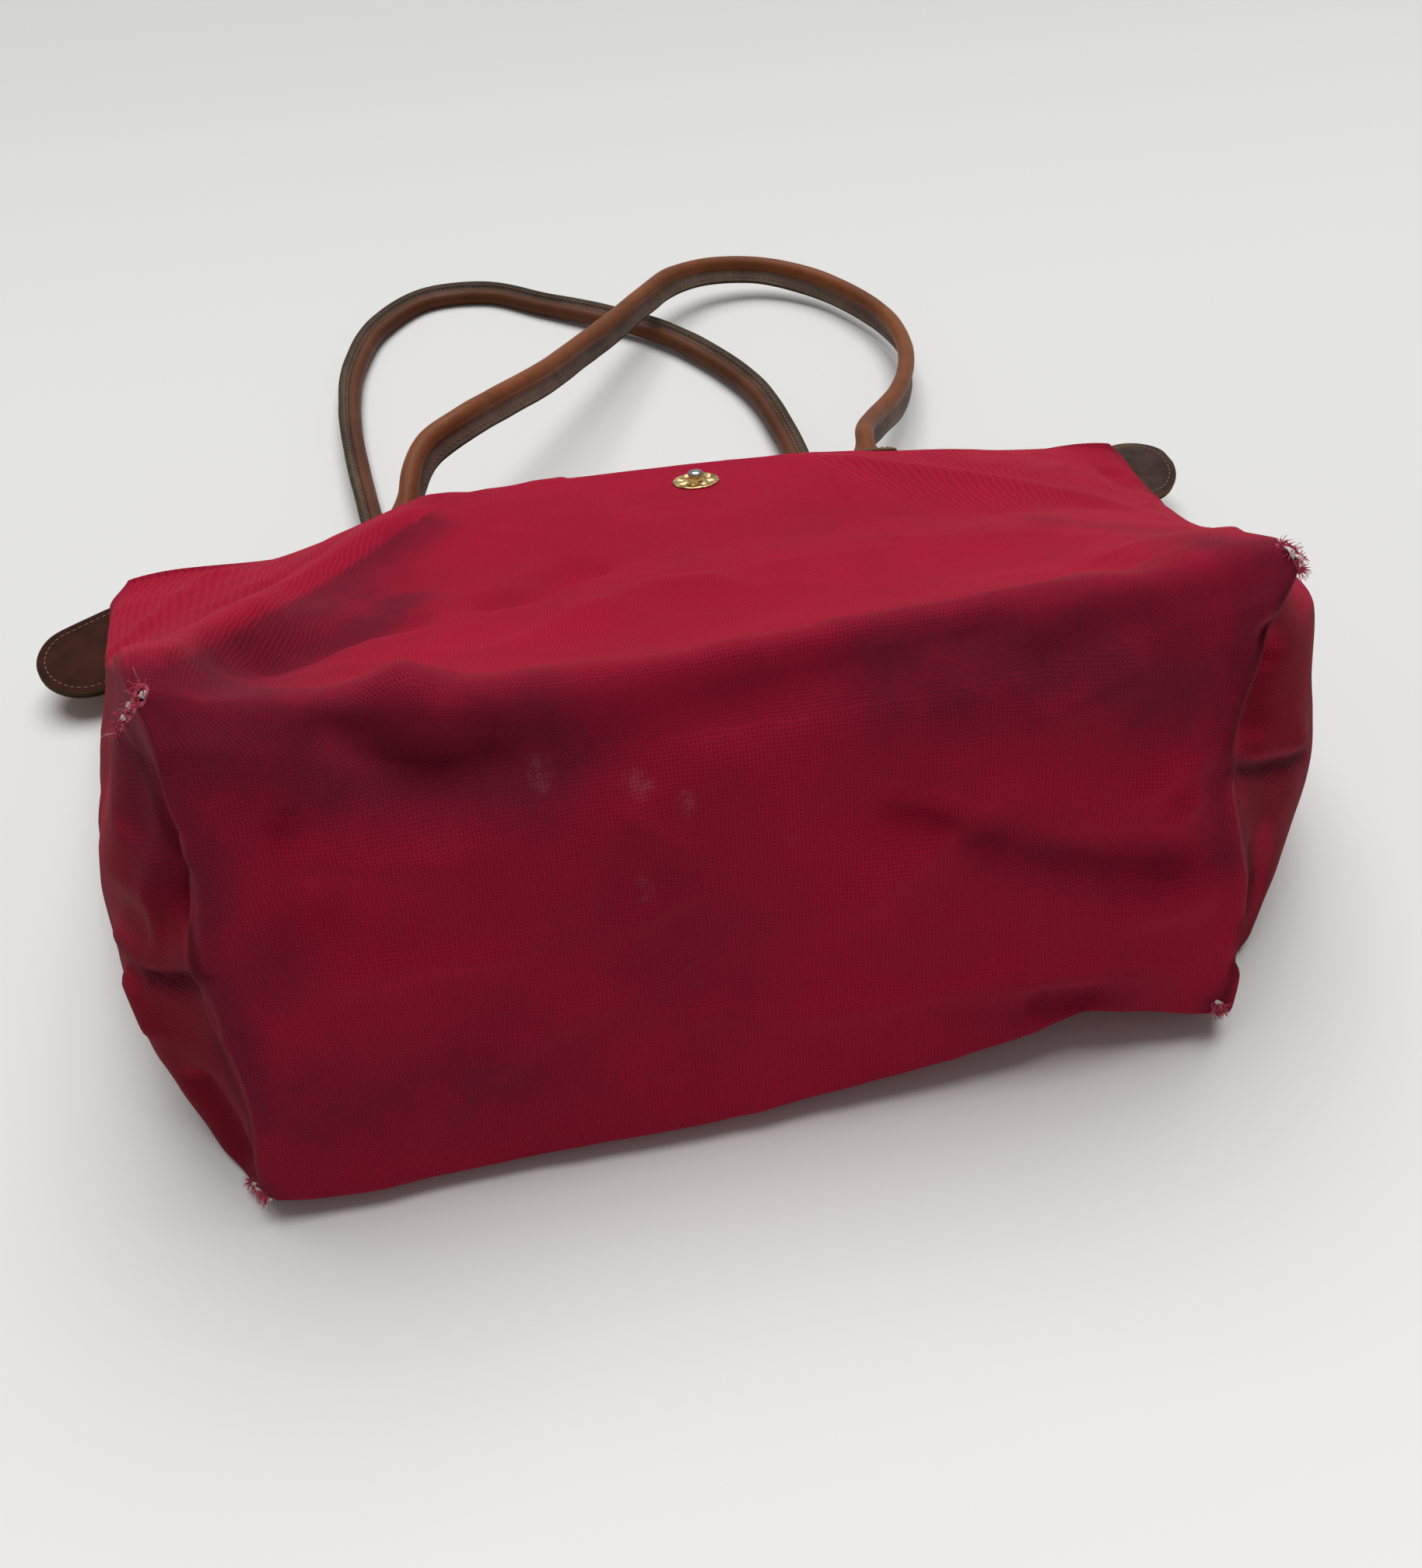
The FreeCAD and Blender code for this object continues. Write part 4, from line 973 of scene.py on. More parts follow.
def on_right(points, line, facing, which):
    """True for the points on the right of a line that runs over the cloth."""
    run = line[np.minimum(which + 1, len(line) - 1)] - line[which]
    return np.sum((points - line[which]) * np.cross(run, facing[which]), axis=1) > 0


def camera_axes():
    """Right, up and ahead of the camera."""
    ahead = Vector((math.sin(CAMERA_YAW) * math.cos(CAMERA_PITCH),
                    math.cos(CAMERA_YAW) * math.cos(CAMERA_PITCH), -math.sin(CAMERA_PITCH)))
    level = Vector((math.cos(CAMERA_YAW), -math.sin(CAMERA_YAW), 0))
    over = level.cross(ahead)
    right = level * math.cos(CAMERA_ROLL) + over * math.sin(CAMERA_ROLL)
    up = over * math.cos(CAMERA_ROLL) - level * math.sin(CAMERA_ROLL)
    return right, up, ahead


def sight_line(u, v):
    """Direction from the camera through a pixel of the photograph."""
    right, up, ahead = camera_axes()
    focal = LENS / SENSOR * PHOTO_HEIGHT
    return (ahead * focal + right * (u - PHOTO_WIDTH / 2) + up * (PHOTO_HEIGHT / 2 - v)).normalized()


class Cloth:
    """The bag's outer face as it is being shaped, with what is needed to place things on it."""

    def __init__(self, points, faces):
        self.points = points
        self.faces = faces
        self.normals = vertex_normals(points, faces)
        self.tree = BVHTree.FromPolygons(points.tolist(), faces)

    def seen_at(self, u, v):
        """The place on the cloth behind a pixel, or the nearest one beside the bag's outline."""
        ray = sight_line(u, v)
        place, normal = self.tree.ray_cast(CAMERA_PLACE, ray)[:2]
        if place is None:
            offsets = self.points - np.array(CAMERA_PLACE)
            gaps = np.linalg.norm(np.cross(offsets, np.array(ray)), axis=1)
            nearest = int(np.argmin(gaps))
            return self.points[nearest], self.normals[nearest]
        return np.array(place), np.array(normal)

    def seen_line(self, pixels):
        """Where a line drawn in pixels lies on the cloth, and the cloth's normals there."""
        flat = even_line(np.array([(u, v, 0.0) for u, v in pixels]), 14.0)
        hits = [self.seen_at(u, v) for u, v, _ in flat]
        return np.array([place for place, normal in hits]), np.array([normal for place, normal in hits])

    def closeness(self, pixels, width, left_width=None, power=2.0):
        """1 on a drawn line, falling to 0 beyond its width, and how far along the line each point is."""
        line, facing = self.seen_line(pixels)
        left_width = left_width or width
        reach = 3 * max(width, left_width)
        low = line.min(axis=0) - reach
        high = line.max(axis=0) + reach
        near = np.all((self.points > low) & (self.points < high), axis=1)
        gap, part, which = distance_to(self.points[near], line)
        same_side = np.clip((np.sum(facing[which] * self.normals[near], axis=1) - 0.15) / 0.5, 0, 1)
        strength = np.zeros(len(self.points))
        wide = np.where(on_right(self.points[near], line, facing, which), width, left_width)
        strength[near] = np.exp(-(gap / wide) ** power) * same_side
        along = np.zeros(len(self.points))
        along[near] = part
        return strength, along


STUD_Y = BAG_LENGTH - STUD_BACK


def stud_seat():
    """The stud's foot and the direction that it stands in."""
    low, high = CROSS_LOOPS[5], CROSS_LOOPS[6]
    low_y = low[0] + low[1] * low[4]
    high_y = high[0] + high[1] * high[4]
    slope = (low[4] - high[4]) / (high_y - low_y)
    angle = math.atan(slope)
    foot = own(STUD_X, STUD_Y, high[4] + (high_y - STUD_Y) * slope)
    return foot, np.array((0.0, math.sin(angle), math.cos(angle)))


def eased(values):
    values = np.clip(values, 0, 1)
    return values * values * (3 - 2 * values)


EDGE_SAG = 0.006
SAG_REACH = 0.045         # how far the sag of the base's upper edge spreads over the cloth
SAG_LEFT = (-152, 50)     # where it begins along X, in millimetres, and over what length it grows
SAG_RIGHT = (-60, 85)     # where it begins to end, and over what length
SAG_WAY = (0.0, 0.72, -0.69)
EDGE_ROUNDNESS = 0.015
CORNER_KEPT = (0.012, 0.075)    # round a keen corner: nothing is softened, then gradually all
EDGE_ROUNDS = 48
FLAP_CLEAR = 52           # half of the strip that stays low under the closed flap, in millimetres
FLAP_CLEAR_FROM = 0.015
FLAP_CLEAR_DEPTH = 0.0004
RAISED_LEVEL = (0.052, 0.020)   # cloth above the stud's plane is levelled to here, fading over this
SUNK_LEVEL = (0.026, 0.014)     # and cloth below it


def soft_top_edge(skin, points, faces):
    """Rounds the base panel's upper edge between its two keen corners, and lets its left part sag in."""
    start = skin.side_count
    row = skin.stations[1]
    edge = skin.grid[row, start:start + skin.top_count + 1][::4]
    gap = distance_to(points, edge)[0]
    share = np.exp(-(gap / EDGE_ROUNDNESS) ** 2)
    for corner in (skin.grid[row, start], skin.grid[row, start + skin.top_count]):
        share *= np.clip((np.linalg.norm(points - corner, axis=1) - CORNER_KEPT[0]) / CORNER_KEPT[1], 0, 1)
    rounds = int(EDGE_ROUNDS * (skin.rows / 160) ** 2)
    points = softened(points, faces, np.clip(share, 0, 1), rounds)
    x = points[:, 0] / MM
    along = eased((x - SAG_LEFT[0]) / SAG_LEFT[1]) * (1 - eased((x - SAG_RIGHT[0]) / SAG_RIGHT[1]))
    sag = EDGE_SAG * np.exp(-(gap / SAG_REACH) ** 2) * along
    return points + sag[:, None] * np.array(SAG_WAY)


def small_waves(points, normals, ripple):
    """Low waves and faint crumples, which die away where the bag lies on something."""
    height = np.zeros(len(points))
    for index, point in enumerate(points):
        wave = noise.fractal(Vector(point) * 17.0, 0.7, 2.0, 3)
        crumple = 1 - abs(noise.noise(Vector(point * (34.0, 34.0, 22.0)) + Vector((3.1, 0.4, 7.7))))
        height[index] = wave * 0.75 + crumple ** 4 * 0.55
    calm = np.where(normals[:, 2] < -0.4, 0.12, 1.0) * np.clip((0.165 - points[:, 1]) / 0.030, 0.12, 1.0)
    return height * ripple * calm


def shaped_cloth(skin, settings):
    points = soft_top_edge(skin, skin.points(), skin.faces())
    cloth = Cloth(points, skin.faces())
    height = np.zeros(len(points))
    for width, rise, pixels, *left in FOLDS.values():
        power = 1.25 if rise > 0 and width > 3 else 2.0
        strength, along = cloth.closeness(pixels, width * MM, left[0] * MM if left else None, power)
        taper = np.clip(np.minimum(along, 1 - along) * 6 + 0.3, 0, 1)
        height += strength * taper * rise * MM
    height += small_waves(points, cloth.normals, settings.ripple)
    beside = np.abs(points[:, 0] / MM - STUD_X)
    under_flap = (beside < FLAP_CLEAR) & (points[:, 1] > FLAP_CLEAR_FROM) & (cloth.normals[:, 2] > -0.4)
    height[under_flap] = np.minimum(height[under_flap], 0.0) - FLAP_CLEAR_DEPTH
    points = points + cloth.normals * height[:, None]
    points = softened(points, skin.faces(), np.full(len(points), 0.5), 2)
    foot, stand = stud_seat()
    from_foot = points - foot
    level = from_foot @ stand
    gap = np.linalg.norm(from_foot, axis=1)
    raised = eased((RAISED_LEVEL[0] - gap) / RAISED_LEVEL[1])
    sunk = eased((SUNK_LEVEL[0] - gap) / SUNK_LEVEL[1])
    flat = np.where(level > 0, raised, sunk) * (cloth.normals[:, 2] > 0)
    points -= stand * (level * flat)[:, None]
    points[:, 2] = np.maximum(points[:, 2], 0.0)
    return Cloth(points, skin.faces())


def tear_lines(cloth):
    return {name: (radius * MM, cloth.seen_line(pixels)[0]) for name, (radius, pixels) in TORN.items()}


def tear_open(made, tears):
    """Refines the cloth round each tear and cuts a ragged hole along it."""
    shape = bmesh.new()
    shape.from_mesh(made.data)
    for radius, line in tears.values():
        for reach, cuts in ((0.009, 2),):
            spots = np.array([vert.co for vert in shape.verts])
            near = distance_to(spots, line)[0] < reach
            shape.verts.ensure_lookup_table()
            chosen = {index for index in np.flatnonzero(near)}
            edges = [edge for edge in shape.edges if all(vert.index in chosen for vert in edge.verts)]
            bmesh.ops.subdivide_edges(shape, edges=edges, cuts=cuts, use_grid_fill=True)
            shape.verts.index_update()
        centres = np.array([face.calc_center_median() for face in shape.faces])
        gap = distance_to(centres, line)[0]
        doomed = [face for face, centre, far in zip(shape.faces, centres, gap)
                  if far < radius * 4 and far < radius * (0.75 + 0.8 * noise.noise(Vector(centre * 900.0)))]
        bmesh.ops.delete(shape, geom=doomed, context="FACES")
    loose = [vert for vert in shape.verts if not vert.link_faces]
    bmesh.ops.delete(shape, geom=loose, context="VERTS")
    shape.to_mesh(made.data)
    shape.free()


def mesh_points(made):
    spots = np.empty(len(made.data.vertices) * 3)
    made.data.vertices.foreach_get("co", spots)
    return spots.reshape(-1, 3)


def marked(spots, cloth, marks):
    """How strongly each point is touched by a set of drawn marks."""
    total = np.zeros(len(spots))
    for radius, strength, pixels, *left in marks.values():
        line, facing = cloth.seen_line(pixels)
        gap, _, which = distance_to(spots, line)
        wide = np.where(on_right(spots, line, facing, which), radius, left[0] if left else radius) * MM
        total = np.maximum(total, np.exp(-(gap / wide) ** 2) * strength)
    return total


def base_painted_shade(spots):
    """Painted shade over the base panel, which faces away from the light: some all over, more towards its lower
    edge and most just below its upper edge.
    """
    on_base = np.clip((-0.095 - spots[:, 1] + spots[:, 2] * BASE_LEAN) / 0.02, 0, 1)
    low = np.clip(1 - spots[:, 2] / 0.14, 0, 1)
    high = np.clip((spots[:, 2] - 0.105) / 0.035, 0, 1)
    return on_base * (0.12 + 0.14 * low + 0.24 * high)


def gusset_shade_share(spots, made):
    """1 on the gussets, whose folded-in cloth gets a darker, deeper red as painted shade for their lesser light,
    and 0 elsewhere.
    """
    facing = np.empty(len(spots) * 3)
    made.data.vertex_normals.foreach_get("vector", facing)
    facing = facing.reshape(-1, 3)
    outside = np.clip((np.abs(spots[:, 0]) - (BASE_HALF - 4) * MM) / 0.008, 0, 1)
    limit = 0.62 + 0.30 * np.clip((-0.05 - spots[:, 1]) / 0.04, 0, 1)
    return outside * np.clip((limit - facing[:, 2]) / 0.30, 0, 1) * np.clip((facing[:, 1] + 0.97) / 0.1, 0,
                                                                            1)


def frayed(rim, outward, dice, count, reach, radius):
    """Loose threads that stand out of a torn edge and droop."""
    shapes = []
    for _ in range(count):
        start = rim[dice.randrange(len(rim))]
        lean = np.array([dice.uniform(-1, 1) for axis in range(3)])
        run = outward * dice.uniform(0.4, 1.1) + lean * 0.85
        run = run / np.linalg.norm(run)
        curl = np.cross(run, [dice.uniform(-1, 1) for axis in range(3)])
        length = reach * dice.uniform(0.35, 1.0)
        line = [start + run * length * t + curl * length * 0.45 * t * t + np.array((0, 0, -0.25)) * length * t * t
                for t in (0, 0.25, 0.5, 0.75, 1)]
        line = [np.array((x, y, max(z, 0.0002))) for x, y, z in line]
        shapes.append(tube(line, radius * dice.uniform(0.7, 1.2), sides=4, taper=0.5))
    return join_shapes(shapes)


def coating_curls(line, outward, dice, count):
    """Stiff strips of pale coating that stand in a torn place."""
    shapes = []
    for number in range(count):
        spot = line[dice.randrange(len(line))]
        run = line[-1] - line[0]
        run = run / max(np.linalg.norm(run), 1e-9)
        side = np.cross(run, outward)
        side = side / np.linalg.norm(side)
        bend = dice.uniform(0.6, 1.2)
        sections = []
        for t in np.linspace(-1, 1, 7):
            centre = spot + run * t * dice.uniform(0.0018, 0.0024) + side * dice.uniform(-0.0002, 0.0002)
            centre = centre + side * (number - (count - 1) / 2) * 0.0012 + outward * (0.0003 - 0.0007 * t * t)
            width = 0.00085 * (1.15 - t * t)
            ring = []
            for a, b in ((-1, -0.2), (0, -0.28), (1, -0.2), (1, 0.2), (0, 0.28), (-1, 0.2)):
                ring.append(centre + (side * a + outward * bend * (1 - a * a)) * width + outward * b * 0.0004)
            sections.append(ring)
        shapes.append(loft(sections))
    return join_shapes(shapes)


class TOTE_OT_canvas(bpy.types.Operator):
    """Builds the canvas body with its folds, worn corners, dirty edges and painted shade"""
    bl_idname = "tote.canvas"
    bl_label = "Canvas body"

    def execute(self, context):
        settings = context.scene.tote_canvas
        skin = BagSkin(settings.cell)
        cloth = shaped_cloth(skin, settings)
        canvas = canvas_finish(settings)
        lining = lining_finish()
        body = new_object("canvas_cloth", cloth.points, cloth.faces, [canvas, lining])
        layer = body.data.uv_layers.new(name="cloth")
        layer.data.foreach_set("uv", np.array(skin.cloth_coordinates(), np.float32).ravel())
        tears = tear_lines(cloth)
        tear_open(body, tears)
        spots = mesh_points(body)
        tear_gap = np.min([distance_to(spots, line)[0] - radius for radius, line in tears.values()], axis=0)
        # One attribute for dirt and painted shade: the drawn soiled and shaded places, painted shade over the base
        # panel, and dirt round the tears
        add_values(body, "soil_and_shade", np.clip(marked(spots, cloth, SOILED_AND_SHADED) + base_painted_shade(spots)
                                          + 0.5 * np.exp(-(np.maximum(tear_gap, 0) / 0.006) ** 2), 0, 1))
        add_values(body, "scuff", marked(spots, cloth, RUBBED))
        # Painted shade in the deep folds along the seams and base edges
        add_values(body, "crease", marked(spots, cloth, CREASE_SHADE))
        add_values(body, "coating", np.exp(-(np.maximum(tear_gap, 0) / 0.0008) ** 2))
        # Painted shade on the gussets
        add_values(body, "painted_gusset_shade", gusset_shade_share(spots, body))
        use_modifier(body, "SOLIDIFY", thickness=settings.wall, offset=-1.0, material_offset=1)
        place_piece(body, "bag", "canvas", "canvas_body")
        self.worn_corners(tears, cloth)
        self.inside(skin, cloth)
        return {"FINISHED"}

    def worn_corners(self, tears, cloth):
        fluff = thread_finish("frayed_threads", (0.48, 0.022, 0.065))
        pale = thread_finish("pale_threads", (0.55, 0.42, 0.42))
        coating = plastic_finish("torn_coating", (0.62, 0.58, 0.56), 0.30)
        for number, (name, (radius, line)) in enumerate(tears.items()):
            dice = random.Random(11 + number)
            near = np.linalg.norm(cloth.points - line[len(line) // 2], axis=1) < 0.012
            outward = cloth.normals[near].mean(axis=0)
            outward = outward / np.linalg.norm(outward)
            run = line[-1] - line[0]
            side = np.cross(run, outward)
            side = side / max(np.linalg.norm(side), 1e-9)
            rim = [spot + side * sign * radius * 1.1 for spot in line for sign in (-1, 1)]
            rim += [line[0] - run * 0.1, line[-1] + run * 0.1]
            points, faces = frayed(rim, outward, dice, 170, 0.0036, 0.00014)
            place_piece(new_object("frayed_threads_" + name, points, faces, [fluff]), "bag", "canvas")
            points, faces = frayed(rim, outward, dice, 4, 0.007, 0.00006)
            place_piece(new_object("pale_threads_" + name, points, faces, [pale]), "bag", "canvas")
            points, faces = coating_curls(line, outward, dice, 3)
            place_piece(new_object("torn_coating_" + name, points, faces, [coating]), "bag", "lining")

    def inside(self, skin, cloth):
        binding = woven_finish("seam_binding", (0.16, 0.012, 0.028))
        pocket = lining_finish("pocket_lining")
        half = max(2, skin.around[1] // 3)
        first, last = skin.stations[2], skin.stations[7]
        for name, rail in (("left_side_seam_binding", 2), ("right_side_seam_binding", 11)):
            middle = skin.rail_columns[rail]
            self.inner_strip(name, skin, cloth, (first, last), (middle - half, middle + half), binding,
                             "binding")
        edge = skin.stations[1] + 3
        low = skin.side_count // 10
        for name, start in (("left_base_seam_binding", 0), ("right_base_seam_binding",
                                                          skin.side_count + skin.top_count)):
            columns = (start + low, start + skin.side_count - low)
            self.inner_strip(name, skin, cloth, (1, edge), columns, binding, "binding")
        rows = (skin.row_near(130), skin.row_near(200))
        left_low = skin.columns - int(skin.top_count * 0.27)
        right_low = skin.columns - int(skin.top_count * 0.76)
        self.inner_strip("inner_pocket", skin, cloth, rows, (right_low, left_low), pocket, "lining")

    def inner_strip(self, name, skin, cloth, rows, columns, material, slot):
        """A strip of cloth that lies against the inside of the canvas, over a part of its grid."""
        numbers = np.array([[skin.index_of(row, column) for column in range(columns[0], columns[1] + 1)]
                            for row in range(rows[0], rows[1] + 1)])
        count = numbers.shape[1]
        points, faces = [], []
        for depth in (WALL * MM + 0.0001, WALL * MM + 0.0008):
            for row in numbers:
                points.extend(cloth.points[row] - cloth.normals[row] * depth)
        size = numbers.size
        for row in range(numbers.shape[0] - 1):
            for column in range(count - 1):
                face = [row * count + column, row * count + column + 1,
                        (row + 1) * count + column + 1, (row + 1) * count + column]
                faces.append(face)
                faces.append([corner + size for corner in face[::-1]])
        border = [(0, column) for column in range(count)]
        border += [(row, count - 1) for row in range(1, numbers.shape[0])]
        border += [(numbers.shape[0] - 1, column) for column in range(count - 2, -1, -1)]
        border += [(row, 0) for row in range(numbers.shape[0] - 2, 0, -1)]
        ring = [row * count + column for row, column in border]
        for here, after in zip(ring, ring[1:] + ring[:1]):
            faces.append([here, here + size, after + size, after])
        made = merged(new_object(name + "_cloth", points, faces, [material]))
        place_piece(made, "bag", slot, name)


# Handles

def handle_line(ends, height, route):
    """The roll's centre line, from the canvas out to the loop and back."""
    points = [own(ends[0], BAG_LENGTH - 3, height)]
    points += [own(x, BAG_LENGTH + y, z + HANDLE_RADIUS) for x, y, z in route[1:]]
    points += [own(ends[1] - 3, BAG_LENGTH - 3, height)]
    return even_line(curve_through(points, [0] * len(points), [12] * len(points)), 0.0025)


ROLL_RADIUS = 4.3 * MM
ROLL_SHIFT = -2.7 * MM
LIP_ROOT = 0.8 * MM
LIP_ROUNDS = 12
LIP_ENDS = {"front": 8.4 * MM, "rear": 6.0 * MM}
LIP_HALF = 1.25 * MM
FOOT_LENGTH = 0.024
FOOT_HALF = 9.0 * MM
FOOT_FLAT = 2.0 * MM


def roll_profile(lip_end):
    """The rolled section with its flat sewn lip towards +side, and how near the rim each point is."""
    profile, edge = [], []
    join = math.asin(LIP_HALF / ROLL_RADIUS)
    for angle in np.linspace(join, 2 * math.pi - join, 25):
        profile.append((ROLL_SHIFT + ROLL_RADIUS * math.cos(angle), ROLL_RADIUS * math.sin(angle)))
        edge.append(0.15 if 0.35 < angle < 2 * math.pi - 0.35 else 0.3)
    side = [(0.08, 0.86, 0.5), (0.3, 0.95, 0.6), (0.6, 1.05, 0.6), (0.86, 1.04, 0.62), (0.93, 0.98, 1.0),
            (1.0, 0.7, 1.0)]
    for part, half, rim in side:
        profile.append((LIP_ROOT + (lip_end - LIP_ROOT) * part, -LIP_HALF * half))
        edge.append(rim)
    profile.append((lip_end + 0.0002, -LIP_HALF * 0.08))
    edge.append(1.0)
    for part, half, rim in reversed(side):
        profile.append((LIP_ROOT + (lip_end - LIP_ROOT) * part, LIP_HALF * half))
        edge.append(rim)
    return profile, edge


class TOTE_OT_handles(bpy.types.Operator):
    """Builds the two rolled leather handles with their sewn lips and their sewn ends on the canvas"""
    bl_idname = "tote.handles"
    bl_label = "Leather handles"

    def execute(self, context):
        settings = context.scene.tote_leather
        leather = leather_finish("handle_leather", settings.colour, settings.edge, settings.lip)
        rolls = {"front": leather, "rear": leather_finish("handled_leather", shaded(settings.colour, 0.50),
                                                          settings.edge, shaded(settings.lip, 0.62))}
        sewing = thread_finish("handle_thread", settings.thread)
        canvas = bpy.data.objects["canvas_cloth"]
        tree = BVHTree.FromPolygons(mesh_points(canvas).tolist(),
                                    [tuple(p.vertices) for p in canvas.data.polygons])
        plans = (("front", FRONT_ENDS, FRONT_PIVOT_Z, FRONT_ROUTE),
                 ("rear", REAR_ENDS, REAR_PIVOT_Z, REAR_ROUTE))
        for name, ends, height, route in plans:
            line = handle_line(ends, height, route)
            heading = directions(line)
            sides = self.lip_directions(name, heading)
            ups = np.cross(heading, sides)
            self.build_roll(name, line, sides, ups, rolls[name])
            self.build_stitches(name, line, sides, ups, sewing, settings.stitch)
            for side, x in (("left", ends[0]), ("right", ends[1])):
                self.build_end(tree, "%s_handle_%s_anchor" % (name, side), x, height, leather, sewing,
                               settings.stitch)
        return {"FINISHED"}

    def lip_directions(self, name, heading):
        """Where the sewn lip points: down towards the base in front, up and out at the rear."""
        if name == "front":
            sides = np.tile(np.array((0.0, -0.70, -0.72)), (len(heading), 1))
        else:
            sides = np.cross(heading, (0, 0, -1.0))
            sides = sides / np.linalg.norm(sides, axis=1, keepdims=True) + np.array((0, 0, 1.05))
        for _ in range(LIP_ROUNDS):
            sides -= heading * np.sum(sides * heading, axis=1, keepdims=True)
            sides /= np.linalg.norm(sides, axis=1, keepdims=True)
            sides[1:-1] = (sides[:-2] + sides[1:-1] * 2 + sides[2:]) / 4
        return sides / np.linalg.norm(sides, axis=1, keepdims=True)

    def build_roll(self, name, line, sides, ups, leather):
        """The leather's outside, which spreads into a flat foot at each end."""
        run = along_line(line)
        profile, edge = roll_profile(LIP_ENDS[name])
        sections = []
        for centre, side, up, far in zip(line, sides, ups, np.minimum(run, run[-1] - run)):
            foot = max(0.0, 1 - far / FOOT_LENGTH) ** 1.5
            waver = 1 + 0.03 * noise.noise(Vector(centre) * 60)
            section = []
            for a, b in profile:
                spot = side * a + up * b
                lie = spot / np.linalg.norm(spot)
                reach = 1 / math.hypot(math.hypot(lie[0], lie[1]) / FOOT_HALF, lie[2] / FOOT_FLAT)
                place = centre + spot * waver * (1 - foot) + lie * reach * foot
                section.append(np.array((place[0], place[1], max(place[2], 0.0003))))
            sections.append(section)
        points, faces = loft(sections)
        made = new_object(name + "_handle_roll", points, faces, [leather])
        add_values(made, "edge", edge * len(line))
        self.join_at_root(made, name)
        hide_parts(name + "_handle_leather", name + "_handle_core")

    def build_stitches(self, name, line, sides, ups, sewing, length):
        rows = []
        middle = LIP_ROOT + (LIP_ENDS[name] - LIP_ROOT) * 0.60
        for sign in (1, -1):
            row = line + sides * middle + ups * LIP_HALF * 1.04 * sign
            rows.append(stitch_row(row[10:-10], (ups * sign)[10:-10], length, radius=0.00034))
        points, faces = join_shapes(rows)
        made = new_object(name + "_handle_stitches", points, faces, [sewing])
        self.join_at_root(made, name)

    def join_at_root(self, made, name):
        """Bakes the piece's placement into its points."""
        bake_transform(made)

    def build_end(self, tree, name, x, height, leather, sewing, stitch_length):
        """A sewn patch that follows the canvas round the handle's root."""
        half_width, half_height = 10.0, 6.6
        across = np.sin(np.linspace(-math.pi / 2, math.pi / 2, 17))
        grid, facing = [], []
        for up in across:
            for over in across:
                round_over = over * math.sqrt(1 - 0.42 * up * up)
                round_up = up * math.sqrt(1 - 0.42 * over * over)
                start = Vector(((x + round_over * half_width) * MM, 0.24,
                                (height + round_up * half_height) * MM))
                place, normal = tree.ray_cast(start, Vector((0, -1, 0)))[:2]
                if place is None or place.y < 0.10:
                    raise RuntimeError("no canvas under " + name)
                grid.append(np.array(place))
                facing.append(np.array(normal))
        count = len(across)
        grid = np.array(grid).reshape(count, count, 3)
        facing = np.array(facing).reshape(count, count, 3)
        for step in range(6):
            facing[1:-1, 1:-1] = (facing[:-2, 1:-1] + facing[2:, 1:-1] + facing[1:-1, :-2] + facing[1:-1, 2:]) / 4
        facing /= np.linalg.norm(facing, axis=2, keepdims=True)
        points, edge, faces = [], [], []
        for layer in (0, 1):
            for row in range(count):
                for column in range(count):
                    rim = max(abs(across[row]), abs(across[column]))
                    lift = 0.0001 if layer == 0 else 0.0018 * math.sqrt(max(0.0, 1 - rim ** 8)) + 0.0001
                    points.append(grid[row, column] + facing[row, column] * lift)
                    edge.append(1.0 if rim > 0.97 else 0.0)
        size = count * count
        for row in range(count - 1):
            for column in range(count - 1):
                face = [row * count + column, row * count + column + 1,
                        (row + 1) * count + column + 1, (row + 1) * count + column]
                faces.append(face[::-1])
                faces.append([corner + size for corner in face])
        made = merged(self.with_edge(new_object(name + "_leather", points, faces, [leather]), edge))
        place_piece(made, "bag", "handle_leather", name)
        inner = 4
        ring = [(inner, column) for column in range(inner, count - inner)]
        ring += [(row, count - 1 - inner) for row in range(inner + 1, count - inner)]
        ring += [(count - 1 - inner, column) for column in range(count - 2 - inner, inner - 1, -1)]
        ring += [(row, inner) for row in range(count - 2 - inner, inner - 1, -1)]
        line = [grid[spot] + facing[spot] * 0.0018 for spot in ring]
        points, faces = stitch_row(line, [facing[spot] for spot in ring], stitch_length * 0.8)
        place_piece(new_object(name + "_stitches", points, faces, [sewing]), "bag", "handle_leather")

    def with_edge(self, made, edge):
        add_values(made, "edge", edge)
        return made


# Zip

TAPE_FACE = BAG_LENGTH - WALL
CHAIN_GAP = 1.0
CHAIN_WIDTH = 2.4
CHAIN_DEPTH = 1.7
STOP_LENGTH = 3.0


def coil(start, end, y, z, turn, flat, high):
    """One zip row: a thread wound in flat loops along X."""
    count = int((end - start) / turn)
    line = []
    for step in range(count * 8):
        angle = 2 * math.pi * step / 8
        x = start + turn * step / 8
        line.append(own(x, y + high * math.sin(angle), z + flat * math.cos(angle)))
    return tube(line, 0.00032, sides=5)


